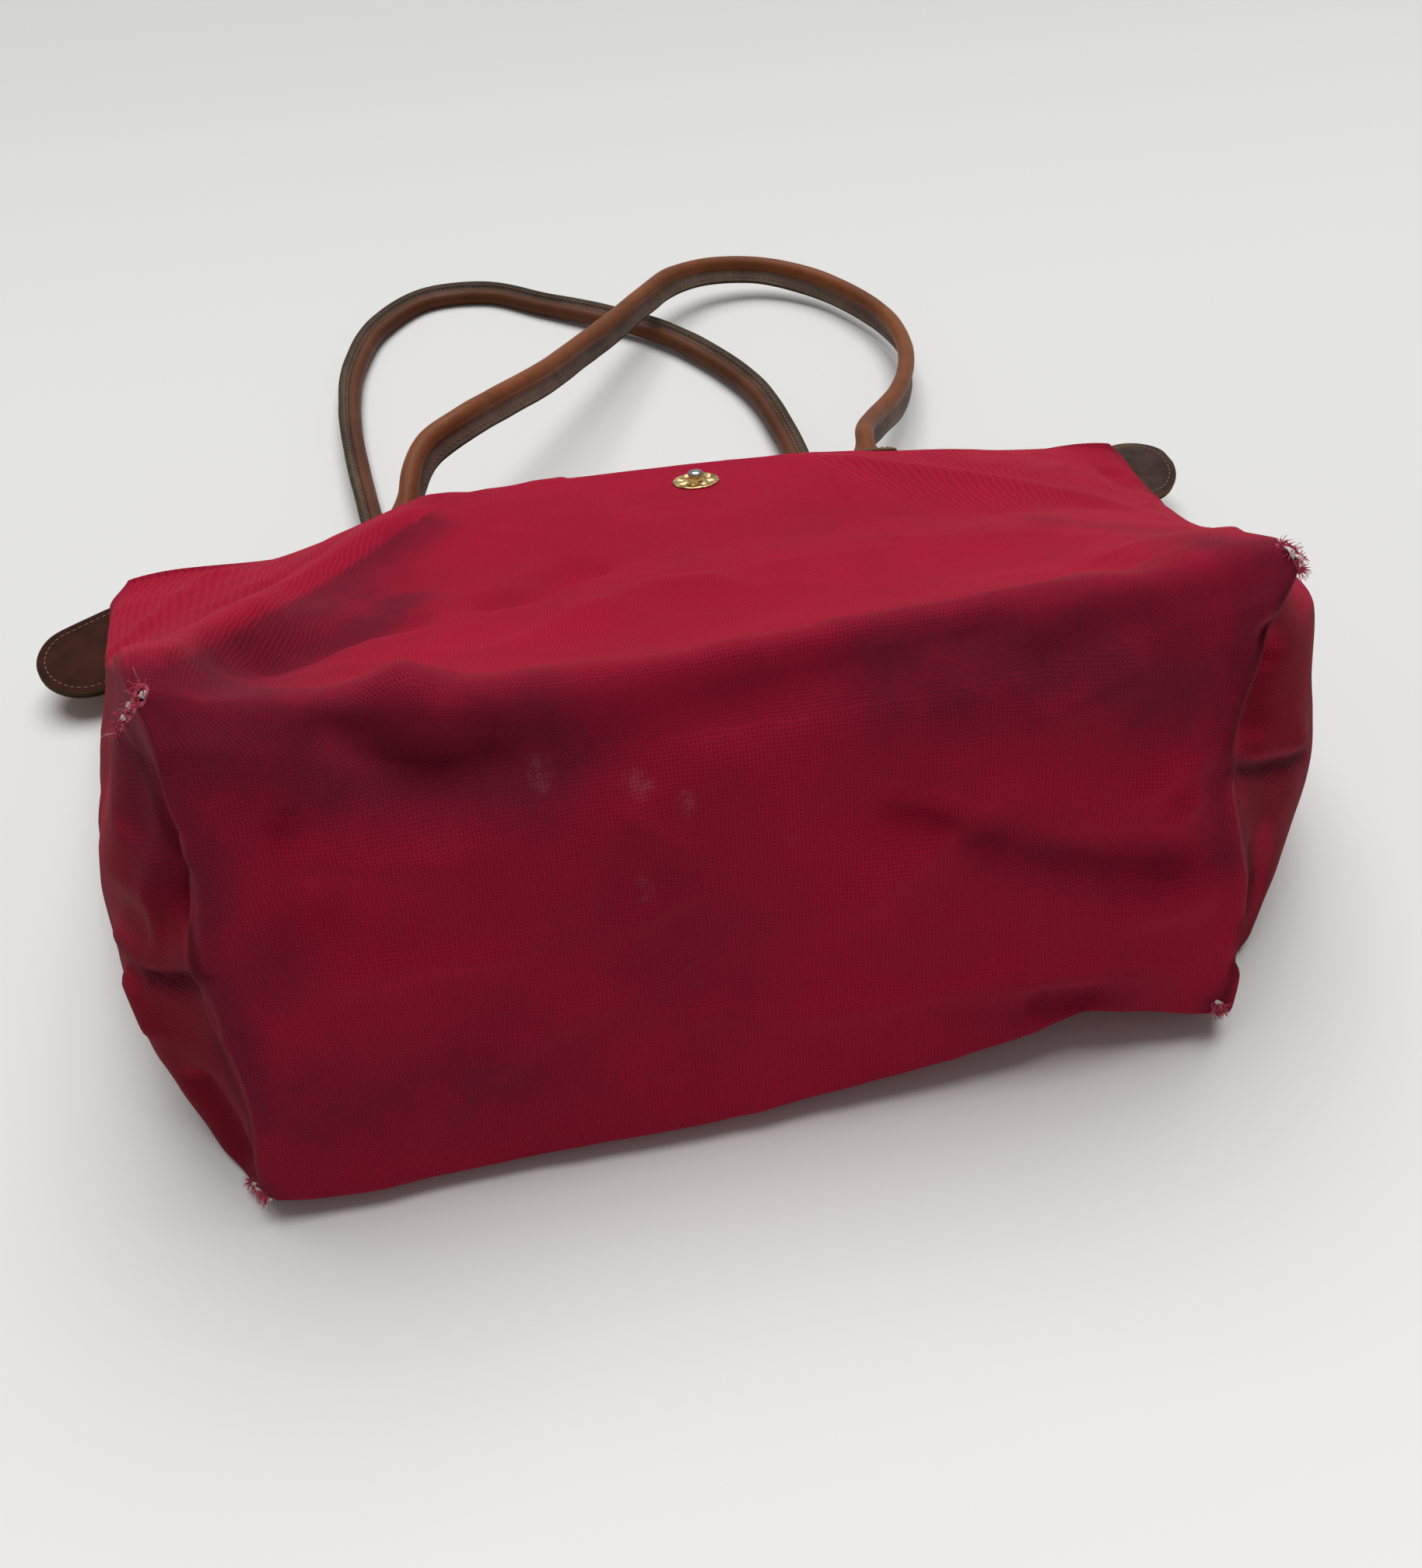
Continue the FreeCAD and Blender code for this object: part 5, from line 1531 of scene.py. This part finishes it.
class TOTE_OT_zip(bpy.types.Operator):
    """Builds the zip's tapes, coils and stops, and its slider and pull"""
    bl_idname = "tote.zip"
    bl_label = "Zip"

    def execute(self, context):
        metal = context.scene.tote_metal
        gilt = metal_finish("zip_gilt", metal.gilt, 0.24, shaded(metal.gilt, 0.55))
        tape = woven_finish("zip_tape_cloth", (0.17, 0.010, 0.026))
        nylon = plastic_finish("zip_coil_nylon", (0.12, 0.008, 0.020), 0.40)
        left = MOUTH_ENDS[0] + 2 * STOP_LENGTH
        right = MOUTH_ENDS[1] - 2 * STOP_LENGTH
        for name, sign in (("front", 1), ("rear", -1)):
            self.build_tape("zip_tape_" + name, sign, tape)
            middle = ZIP_Z + sign * (CHAIN_GAP / 2 + CHAIN_WIDTH / 2)
            points, faces = coil(left, right, TAPE_FACE + CHAIN_DEPTH / 2, middle, 1.35,
                                 CHAIN_WIDTH / 2 - 0.3, 0.5)
            place_piece(new_object("zip_coil_" + name, points, faces, [nylon]), "bag", "zip_coil",
                        "zip_chain_" + name)
            points, faces = self.clamp(right, right + STOP_LENGTH, middle, CHAIN_WIDTH)
            place_piece(new_object("zip_stop_" + name, points, faces, [gilt]), "bag", "gilt_metal",
                        "zip_top_stop_" + name)
        points, faces = self.clamp(left - STOP_LENGTH, left, ZIP_Z, 2 * CHAIN_WIDTH + CHAIN_GAP)
        place_piece(new_object("zip_stop_bottom", points, faces, [gilt]), "bag", "gilt_metal",
                    "zip_bottom_stop")
        self.build_pull(gilt)
        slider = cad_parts["zip_slider"]
        dress(slider, gilt)
        edge = slider.modifiers.new("Soft edges", "BEVEL")
        edge.width = 0.00025
        edge.segments = 2
        return {"FINISHED"}

    def build_tape(self, name, sign, material):
        sections = []
        near = ZIP_Z + sign * (CHAIN_GAP / 2 + CHAIN_WIDTH / 3)
        far = ZIP_Z + sign * (SLOT_HALF + 3.0)
        for x in np.linspace(MOUTH_ENDS[0] + 2, MOUTH_ENDS[1] - 2, 150):
            bow = 0.10 * math.sin(x * 0.35) * math.sin(x * 0.021)
            ring = []
            for t, low, high in ((0.0, -0.65, -0.05), (0.06, -0.75, 0.0), (0.5, -0.75, -0.05),
                                 (0.94, -0.75, 0.0),
                                 (1.0, -0.65, -0.1)):
                ring.append((t, high))
            for t, low in ((1.0, -0.65), (0.94, -0.78), (0.5, -0.78), (0.06, -0.78), (0.0, -0.65)):
                ring.append((t, low))
            sections.append([own(x, TAPE_FACE + depth + bow * t * (1 - t), near + (far - near) * t)
                             for t, depth in ring])
        points, faces = loft(sections)
        place_piece(merged(new_object(name + "_cloth", points, faces, [material])), "bag", "zip_tape", name)

    def clamp(self, start, end, z, width):
        """A folded metal stop round the zip's rows."""
        sections = []
        middle = (start + end) / 2
        for t in np.linspace(-1, 1, 9):
            swell = math.sqrt(max(0.0, 1 - abs(t) ** 5)) * 0.5 + 0.5
            ring = []
            for angle in np.linspace(0, 2 * math.pi, 17)[:-1]:
                over = math.copysign(abs(math.cos(angle)) ** 0.5, math.cos(angle)) * width / 2 * swell
                up = math.copysign(abs(math.sin(angle)) ** 0.6, math.sin(angle)) * CHAIN_DEPTH / 2 * swell
                ring.append(own(middle + t * (end - start) / 2, TAPE_FACE + CHAIN_DEPTH / 2 + up, z + over))
            sections.append(ring)
        return loft(sections)

    def build_pull(self, gilt):
        """The flat pull with its eye round the slider's bridge and a raised rim."""
        low, high = [np.array(corner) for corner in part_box("zip_pull")]
        middle = (low + high) / 2
        length = high[0] - low[0]
        half = (high[2] - low[2]) / 2
        thick = high[1] - low[1]
        eye_near, eye_far = 0.0005, 0.0085
        eye_half = 0.0015
        outer, inner = [], []
        for angle in np.linspace(0, 2 * math.pi, 49)[:-1]:
            keen_x = math.copysign(abs(math.cos(angle)) ** 0.45, math.cos(angle))
            keen_z = math.copysign(abs(math.sin(angle)) ** 0.45, math.sin(angle))
            waist = 1 - 0.22 * math.exp(-((keen_x - 0.15) / 0.35) ** 2)
            outer.append((middle[0] + keen_x * length / 2, middle[2] + keen_z * half * waist))
            eye_middle = high[0] - (eye_near + eye_far) / 2
            inner.append((eye_middle + keen_x * (eye_far - eye_near) / 2, middle[2] + keen_z * eye_half))
        rings = []
        for share, height in ((0.0, -0.30), (0.06, -0.5), (0.5, -0.38), (0.94, -0.5), (1.0, -0.30),
                              (1.0, 0.30), (0.94, 0.5), (0.5, 0.38), (0.06, 0.5), (0.0, 0.30)):
            rings.append([(a * (1 - share) + c * share, middle[1] + thick * height,
                           b * (1 - share) + d * share)
                          for (a, b), (c, d) in zip(outer, inner)])
        points, faces = loft(rings + rings[:1], closed_ends=False)
        made = merged(new_object("zip_pull_plate", points, faces, [gilt]))
        place_piece(made, "zip_pull", "gilt_metal", "zip_pull")


# Stud and flap

def dress(node, material):
    """Gives a solid of the part its finish."""
    for entry in node.material_slots:
        entry.link = "OBJECT"
        entry.material = material


def petals(radius, angle):
    """Pressed slots of the rosette between its raised rim and its hub."""
    band = math.exp(-((radius / MM - 6.1) / 1.9) ** 2)
    return band * (0.50 * math.cos(8 * angle) - 0.30) * MM


class TOTE_OT_stud(bpy.types.Operator):
    """Builds the gilt rosette, its post and its worn cap"""
    bl_idname = "tote.stud"
    bl_label = "Snap stud"

    def execute(self, context):
        metal = context.scene.tote_metal
        gilt = metal_finish("stud_gilt", metal.gilt, 0.20, shaded(metal.gilt, 0.42))
        dark = metal_finish("stud_dark", metal.dark, 0.16, shaded(metal.dark, 0.6))
        foot, stand = stud_seat()

        def mm(profile):
            return [(radius * MM, height * MM) for radius, height in profile]
        rosette = mm([(0.05, 0.02), (8.9, 0.02), (9.35, 0.10), (9.55, 0.38), (9.45, 0.70), (9.1, 0.92),
                      (8.6, 0.90),
                      (8.2, 0.62), (7.6, 0.52), (6.9, 0.50), (6.1, 0.52), (5.3, 0.56), (4.5, 0.62),
                      (3.9, 0.72),
                      (3.4, 0.80), (3.0, 0.80), (2.7, 0.6), (0.05, 0.6)])
        points, faces = turned(rosette, foot, stand, 90, petals)
        place_piece(new_object("stud_rosette_disc", points, faces, [gilt]), "bag", "gilt_metal",
                    "stud_rosette")
        post = mm([(0.05, -3.4), (1.95, -3.4), (1.95, 0.3), (2.85, 0.75), (2.9, 1.0), (2.7, 1.3), (2.6, 1.8),
                   (2.7, 2.3), (2.85, 2.6), (2.8, 2.8), (2.4, 2.9), (0.05, 2.9)])
        points, faces = turned(post, foot, stand, 40)
        place_piece(new_object("stud_post_pin", points, faces, [gilt]), "bag", "gilt_metal", "stud_post")
        cap = mm([(0.05, 2.7), (2.5, 2.7), (3.05, 2.8), (3.25, 3.15), (3.25, 3.65), (3.05, 4.15),
                  (2.5, 4.58),
                  (1.7, 4.87), (0.8, 4.97), (0.05, 5.0)])
        points, faces = turned(cap, foot, stand, 48)
        place_piece(new_object("stud_cap_dome", points, faces, [dark]), "bag", "dark_metal", "stud_cap")
        dress(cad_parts["stud_patch"], woven_finish("stud_backing_cloth", (0.10, 0.05, 0.04)))
        dress(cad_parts["stud_washer"], gilt)
        return {"FINISHED"}


FLAP_HALF = 42.0
FLAP_THICKNESS = 1.6
FLAP_TIP_RADIUS = 28.0
SNAP_HOLE = 3.8


class TOTE_OT_flap(bpy.types.Operator):
    """Builds the closing flap: its sewn root, its roll, its leaf and its snap"""
    bl_idname = "tote.flap"
    bl_label = "Closing flap"

    def execute(self, context):
        settings = context.scene.tote_leather
        metal = context.scene.tote_metal
        leather = leather_finish("flap_leather", settings.colour, settings.edge, settings.lip, rough=0.44)
        sewing = thread_finish("flap_thread", settings.thread)
        gilt = metal_finish("snap_gilt", metal.gilt, 0.22, shaded(metal.gilt, 0.5))
        anchor = [np.array(corner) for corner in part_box("flap_anchor")]
        leaf = [np.array(corner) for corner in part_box("flap_leaf")]
        tip = [np.array(corner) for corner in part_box("flap_tip")]
        self.build_leaf(leaf, tip, leather, sewing, settings.stitch)
        self.build_root(anchor, leaf, leather, sewing, settings.stitch)
        self.build_snap(gilt)
        return {"FINISHED"}

    def build_leaf(self, leaf, tip, leather, sewing, stitch_length):
        """One flat leather sheet from the roll to the rounded tip."""
        root_y = leaf[1][1]
        length = root_y - tip[0][1]
        x = STUD_X * MM
        low = leaf[0][2]
        straight = root_y - tip[1][1]
        shoulder = length - FLAP_TIP_RADIUS * MM

        def width_at(far):
            if far < straight:
                return FLAP_HALF * MM
            if far < shoulder:
                share = (far - straight) / (shoulder - straight)
                return (FLAP_HALF + (FLAP_TIP_RADIUS - FLAP_HALF) * share) * MM
            return math.sqrt(max(0.0, (FLAP_TIP_RADIUS * MM) ** 2 - (far - shoulder) ** 2))

        def to_world(across, far, height):
            return np.array((x + across, root_y - far, low + height))

        points, faces, edge = leather_piece(width_at, length, FLAP_THICKNESS * MM, to_world, (30, 80))
        made = new_object("flap_sheet", points, faces, [leather])
        add_values(made, "edge", edge)
        merged(made)
        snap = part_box("snap_socket")
        centre = [(a + b) / 2 for a, b in zip(*snap)]
        self.punch(made, (centre[0], centre[1], low))
        line, normals = [], []
        inset = 0.0035
        for far in np.concatenate([np.linspace(0.004, shoulder, 40), shoulder
                                   + (FLAP_TIP_RADIUS * MM - inset) * np.sin(np.linspace(0.05, math.pi / 2, 16))]):
            half = width_at(far) if far < shoulder else math.sqrt(
                max(0.0, (FLAP_TIP_RADIUS * MM - inset) ** 2 - (far - shoulder) ** 2)) + inset
            line.append((half - inset, far))
        path = line + [(-across, far) for across, far in reversed(line[:-1])]
        rows = []
        for height, normal in ((0.0, (0, 0, -1)), (FLAP_THICKNESS * MM, (0, 0, 1))):
            rows.append(stitch_row([to_world(a, far, height) for a, far in path], [normal] * len(path),
                                   stitch_length))
        stitches = new_object("flap_stitches", *join_shapes(rows), [sewing])
        for piece in (made, stitches):
            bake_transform(piece)
        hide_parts("flap_leaf", "flap_tip")

    def punch(self, made, centre):
        """Cuts the round hole for the stud's cap."""
        cutter = merged(new_object("hole_cutter", *turned([(SNAP_HOLE * MM, -0.004),
                                                           (SNAP_HOLE * MM, 0.006)],
                                                          centre, (0, 0, 1), 40), []))
        use_modifier(made, "BOOLEAN", operation="DIFFERENCE", object=cutter, solver="EXACT")
        bpy.data.objects.remove(cutter)

    def build_root(self, anchor, leaf, leather, sewing, stitch_length):
        """The sewn part under the bag and the round fold that the leaf turns on."""
        x = STUD_X * MM
        hinge_y = (BAG_LENGTH + 5.0 - BACK_EDGE) * MM
        middle = (leaf[0][2] + anchor[1][2]) / 2
        radius = (anchor[1][2] - leaf[0][2]) / 2
        sections = []
        for across in np.linspace(-FLAP_HALF, FLAP_HALF, 60):
            end = max(0.0, (abs(across) - FLAP_HALF + 0.8) / 0.8)
            reach = radius * math.sqrt(max(0.05, 1 - 0.8 * end * end)) * (1 + 0.01 * math.sin(across * 1.3))
            sections.append([np.array((x + across * MM, hinge_y + reach * math.cos(a),
                                       middle + reach * math.sin(a)))
                             for a in np.linspace(0, 2 * math.pi, 25)[:-1]])
        made = new_object("flap_roll", *loft(sections), [leather])
        add_values(made, "edge", [1.0 if index in (0, 59) else 0.0 for index in range(60) for _ in range(24)])
        place_piece(made, "flap_leaf", "flap_leather")
        start_y = anchor[1][1]
        length = anchor[1][1] - anchor[0][1]

        def to_world(across, far, height):
            return np.array((x + across, start_y - far, anchor[0][2] + height))

        points, faces, edge = leather_piece(lambda far: FLAP_HALF * MM, length,
                                            anchor[1][2] - anchor[0][2] - 0.00005, to_world, (30, 30))
        made = new_object("flap_root", points, faces, [leather])
        add_values(made, "edge", edge)
        place_piece(merged(made), "bag", "flap_leather", "flap_anchor")
        border = [(FLAP_HALF * MM - 0.0035, 0.008), (FLAP_HALF * MM - 0.0035, length - 0.0035),
                  (-FLAP_HALF * MM + 0.0035, length - 0.0035), (-FLAP_HALF * MM + 0.0035, 0.008)]
        path = [to_world(a, far, 0.0) for a, far in border]
        points, faces = stitch_row(path, [(0, 0, -1)] * 4, stitch_length)
        place_piece(new_object("flap_root_stitches", points, faces, [sewing]), "bag", "flap_leather")

    def build_snap(self, gilt):
        low, high = [np.array(corner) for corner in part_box("snap_socket")]
        foot = ((low[0] + high[0]) / 2, (low[1] + high[1]) / 2, 0.0)
        height = (high[2] - low[2]) / MM
        ring = [(3.8, 0.15), (4.0, 0.0), (4.6, 0.10), (5.8, 0.05), (6.35, 0.3), (6.5, 0.7), (6.4, height),
                (3.9, height), (3.8, height - 0.2), (3.8, 0.15)]
        sections = turned([(r * MM, h * MM) for r, h in ring], foot, (0, 0, 1), 56)
        points, faces = sections[0], sections[1][:-2]
        made = merged(new_object("snap_socket_ring", points, faces, [gilt]))
        place_piece(made, "flap_tip", "gilt_metal", "snap_socket")
        low, high = [np.array(corner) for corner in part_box("snap_cap")]
        foot = (foot[0], foot[1], low[2])
        top = (high[2] - low[2]) / MM
        dome = [(3.8, 0.0), (6.5, 0.0), (6.5, 0.5), (6.3, 1.05), (5.7, 1.55), (4.6, 1.85), (3.0, top - 0.06),
                (1.2, top - 0.01), (0.05, top), (0.05, top - 0.6), (3.7, top - 0.6), (3.8, 0.0)]
        points, faces = turned([(r * MM, h * MM) for r, h in dome], foot, (0, 0, 1), 56)
        made = merged(new_object("snap_cap_dome", points, faces[:-2], [gilt]))
        place_piece(made, "flap_tip", "gilt_metal", "snap_cap")


# Tabs at the zip's ends

TAB_LENGTH = 63.0
TAB_HALF = 20.0
TAB_TIP = 19.5
TAB_THICKNESS = 1.6
TAB_TILT = math.radians(12.0)
TAB_HIDDEN = 9.0          # how much of the sunk end stays inside the seam
TAB_FEET = {"left": (-1, (MOUTH_ENDS[0] + 16.0, BAG_LENGTH - 2.0, 16.0), math.radians(30.0), 16.0, 0.6,
                     -0.6),
            "right": (1, (MOUTH_ENDS[1] - 26.0, BAG_LENGTH - 11.0, 20.0), math.radians(15.0), 26.0, -3.6,
                      -1.6)}


class TOTE_OT_tabs(bpy.types.Operator):
    """Builds the two sewn leather tabs, each of two layers"""
    bl_idname = "tote.tabs"
    bl_label = "Leather tabs"

    def execute(self, context):
        settings = context.scene.tote_leather
        suede = suede_finish("tab_suede", settings.suede, settings.edge)
        grey = suede_finish("tab_worn_suede", (0.060, 0.037, 0.030), (0.150, 0.085, 0.030))
        under = leather_finish("tab_leather", settings.colour, settings.edge, settings.lip, rough=0.5)
        sewing = thread_finish("tab_thread", shaded(settings.thread, 1.15))
        for name, face in (("left", suede), ("right", grey)):
            self.layer(name, "upper", 0.0, face)
            self.layer(name, "lower", -TAB_THICKNESS, under)
            self.sew(name, sewing, settings.stitch)
        return {"FINISHED"}

    def placer(self, name, low):
        """Turns a place on the flat tab into one on the tilted, slightly curled tab."""
        sign, foot, turn, sink, far_curl, near_curl = TAB_FEET[name]
        ahead = np.array((sign * math.cos(turn), sign * math.sin(turn), 0))
        level = np.array((-math.sin(turn), math.cos(turn), 0))
        tilt = level * math.cos(TAB_TILT) + np.array((0, 0, math.sin(TAB_TILT)))
        up = np.array((0, 0, math.cos(TAB_TILT))) - level * math.sin(TAB_TILT)
        start = own(*foot) + ahead * (sink - TAB_HIDDEN) * MM
        length = (TAB_LENGTH - sink + TAB_HIDDEN) * MM

        def to_world(across, far, rise):
            over = across * -sign / (TAB_HALF * MM)
            curl = far_curl if over > 0 else near_curl
            bend = curl * MM * over * over * min(1.0, far / (length * 0.5))
            wave = 0.30 * MM * noise.noise(Vector((across * 90, far * 90, 5.0 + sign)))
            return start + ahead * far + tilt * across * -sign + up * (rise + low * MM + bend + wave)
        return to_world, length, up, (start, tilt)

    def half_width(self, far, length):
        shoulder = length - TAB_TIP * MM
        if far < shoulder:
            return (TAB_HALF + (TAB_TIP - TAB_HALF) * far / shoulder) * MM
        return math.sqrt(max(0.0, (TAB_TIP * MM) ** 2 - (far - shoulder) ** 2))

    def layer(self, name, layer, low, material):
        to_world, length, _, (start, tilt) = self.placer(name, low)
        points, faces, edge = leather_piece(lambda far: self.half_width(far, length), length,
                                            TAB_THICKNESS * MM, to_world, (28, 36))
        if name == "right":
            beyond = ((np.array(points) - start) @ tilt) / MM
            strip = np.clip((beyond - 11.5) / 3.0, 0, 1) * 0.62
            edge = np.maximum(edge, strip)
        made = new_object("%s_tab_%s_leather" % (name, layer), points, faces, [material])
        add_values(made, "edge", edge)
        place_piece(merged(made), "bag", "tab_leather", "%s_tab_%s" % (name, layer))

    def sew(self, name, sewing, stitch_length):
        to_world, length, up, _ = self.placer(name, 0.0)
        inset = 3.4 * MM
        shoulder = length - TAB_TIP * MM
        reach = TAB_TIP * MM - inset
        line = [(self.half_width(far, length) - inset, far) for far in np.linspace(0.002, shoulder, 12)]
        line += [(reach * math.cos(a), shoulder + reach * math.sin(a)) for a in np.linspace(0.1, math.pi - 0.1, 24)]
        line += [(-self.half_width(far, length) + inset, far) for far in np.linspace(shoulder, 0.002, 12)]
        points, faces = stitch_row([to_world(a, far, TAB_THICKNESS * MM) for a, far in line],
                                   [up] * len(line),
                                   stitch_length * 0.9, radius=0.00030)
        place_piece(new_object(name + "_tab_stitches", points, faces, [sewing]), "bag", "tab_leather")


# Stage

def aim_camera():
    right, up, ahead = camera_axes()
    data = bpy.data.cameras.new("photo_camera")
    data.sensor_width = SENSOR
    data.lens = LENS
    data.clip_start = 0.01
    camera = bpy.data.objects.new("photo_camera", data)
    camera.matrix_world = Matrix((
        (right.x, up.x, -ahead.x, CAMERA_PLACE.x),
        (right.y, up.y, -ahead.y, CAMERA_PLACE.y),
        (right.z, up.z, -ahead.z, CAMERA_PLACE.z),
        (0, 0, 0, 1)))
    bpy.context.scene.collection.objects.link(camera)
    bpy.context.scene.camera = camera


def broad_light(strength):
    """A very broad soft light from above and a little behind."""
    data = bpy.data.lights.new("overhead_light", "SUN")
    data.energy = strength
    data.angle = math.radians(52)
    lamp = bpy.data.objects.new("overhead_light", data)
    lamp.rotation_mode = "QUATERNION"
    lamp.rotation_quaternion = Vector((-0.06, -0.34, -1.0)).to_track_quat("-Z", "Y")
    bpy.context.scene.collection.objects.link(lamp)


def floor_finish(colour):
    recipe = Recipe("floor_paper", **{"Specular IOR Level": 0.15, "Roughness": 0.85})
    where = recipe.place("Object")
    cloud = recipe.clouds(where, 1.3, 2.0)
    # Painted shade and light: the floor grows darker far beyond the bag, where the light falls off, and lighter
    # towards the camera
    far = recipe.axis(where, "Y").step(0.20, 1.30)
    close = recipe.axis(where, "Y").step(0.0, -0.55)
    near = recipe.mix(cloud, shaded(colour, 0.985), colour)
    near = recipe.mix(close, near, shaded(colour, 1.17))
    return recipe.finish(Base_Color=recipe.mix(far, near, shaded(colour, 0.82)))


def room_light(strength):
    """Even light from all sides, which mirrors show as a pale room."""
    world = bpy.data.worlds.new("studio")
    world.use_nodes = True
    tree = world.node_tree
    background = tree.nodes["Background"]
    background.inputs["Color"].default_value = (1.0, 1.0, 1.0, 1.0)
    path = tree.nodes.new("ShaderNodeLightPath")
    share = tree.nodes.new("ShaderNodeMapRange")
    share.inputs["To Min"].default_value = strength
    share.inputs["To Max"].default_value = 0.5
    seen = tree.nodes.new("ShaderNodeMapRange")
    seen.inputs["To Max"].default_value = 0.76
    tree.links.new(path.outputs["Is Glossy Ray"], share.inputs["Value"])
    tree.links.new(path.outputs["Is Camera Ray"], seen.inputs["Value"])
    tree.links.new(share.outputs["Result"], seen.inputs["To Min"])
    tree.links.new(seen.outputs["Result"], background.inputs["Strength"])
    bpy.context.scene.world = world


class TOTE_OT_stage(bpy.types.Operator):
    """Builds the pale floor, the soft light and the camera"""
    bl_idname = "tote.stage"
    bl_label = "Stage"

    def execute(self, context):
        settings = context.scene.tote_stage
        side = 6.0
        floor = new_object("floor", [(-side, -side, 0), (side, -side, 0), (side, side, 0), (-side, side, 0)],
                           [(0, 1, 2, 3)], [floor_finish(settings.floor)], smooth=False)
        floor.location.z = -0.0003
        broad_light(settings.key)
        room_light(settings.fill)
        context.scene.view_settings.view_transform = "Standard"
        aim_camera()
        return {"FINISHED"}


class TOTE_PT_panel(bpy.types.Panel):
    """Lists the tote's pieces"""
    bl_idname = "TOTE_PT_panel"
    bl_label = "Folding Tote"
    bl_space_type = "VIEW_3D"
    bl_region_type = "UI"
    bl_category = "Tote"

    def draw(self, context):
        for name in SETTINGS:
            settings = getattr(context.scene, name)
            column = self.layout.column()
            for key in settings.__annotations__:
                column.prop(settings, key)
        for operator in OPERATORS:
            self.layout.operator(operator.bl_idname)


SETTINGS = {"tote_canvas": CanvasSettings, "tote_leather": LeatherSettings, "tote_metal": MetalSettings,
            "tote_stage": StageSettings}
OPERATORS = (TOTE_OT_canvas, TOTE_OT_handles, TOTE_OT_zip, TOTE_OT_stud, TOTE_OT_flap, TOTE_OT_tabs,
             TOTE_OT_stage)


def register():
    for group in (*SETTINGS.values(), *OPERATORS, TOTE_PT_panel):
        bpy.utils.register_class(group)
    for name, group in SETTINGS.items():
        setattr(bpy.types.Scene, name, bpy.props.PointerProperty(type=group))


def unregister():
    for name in SETTINGS:
        delattr(bpy.types.Scene, name)
    for group in reversed((*SETTINGS.values(), *OPERATORS, TOTE_PT_panel)):
        bpy.utils.unregister_class(group)


def main():
    register()
    for operator in OPERATORS:
        group, name = operator.bl_idname.split(".")
        getattr(getattr(bpy.ops, group), name)()


if __name__ == "__main__":
    main()
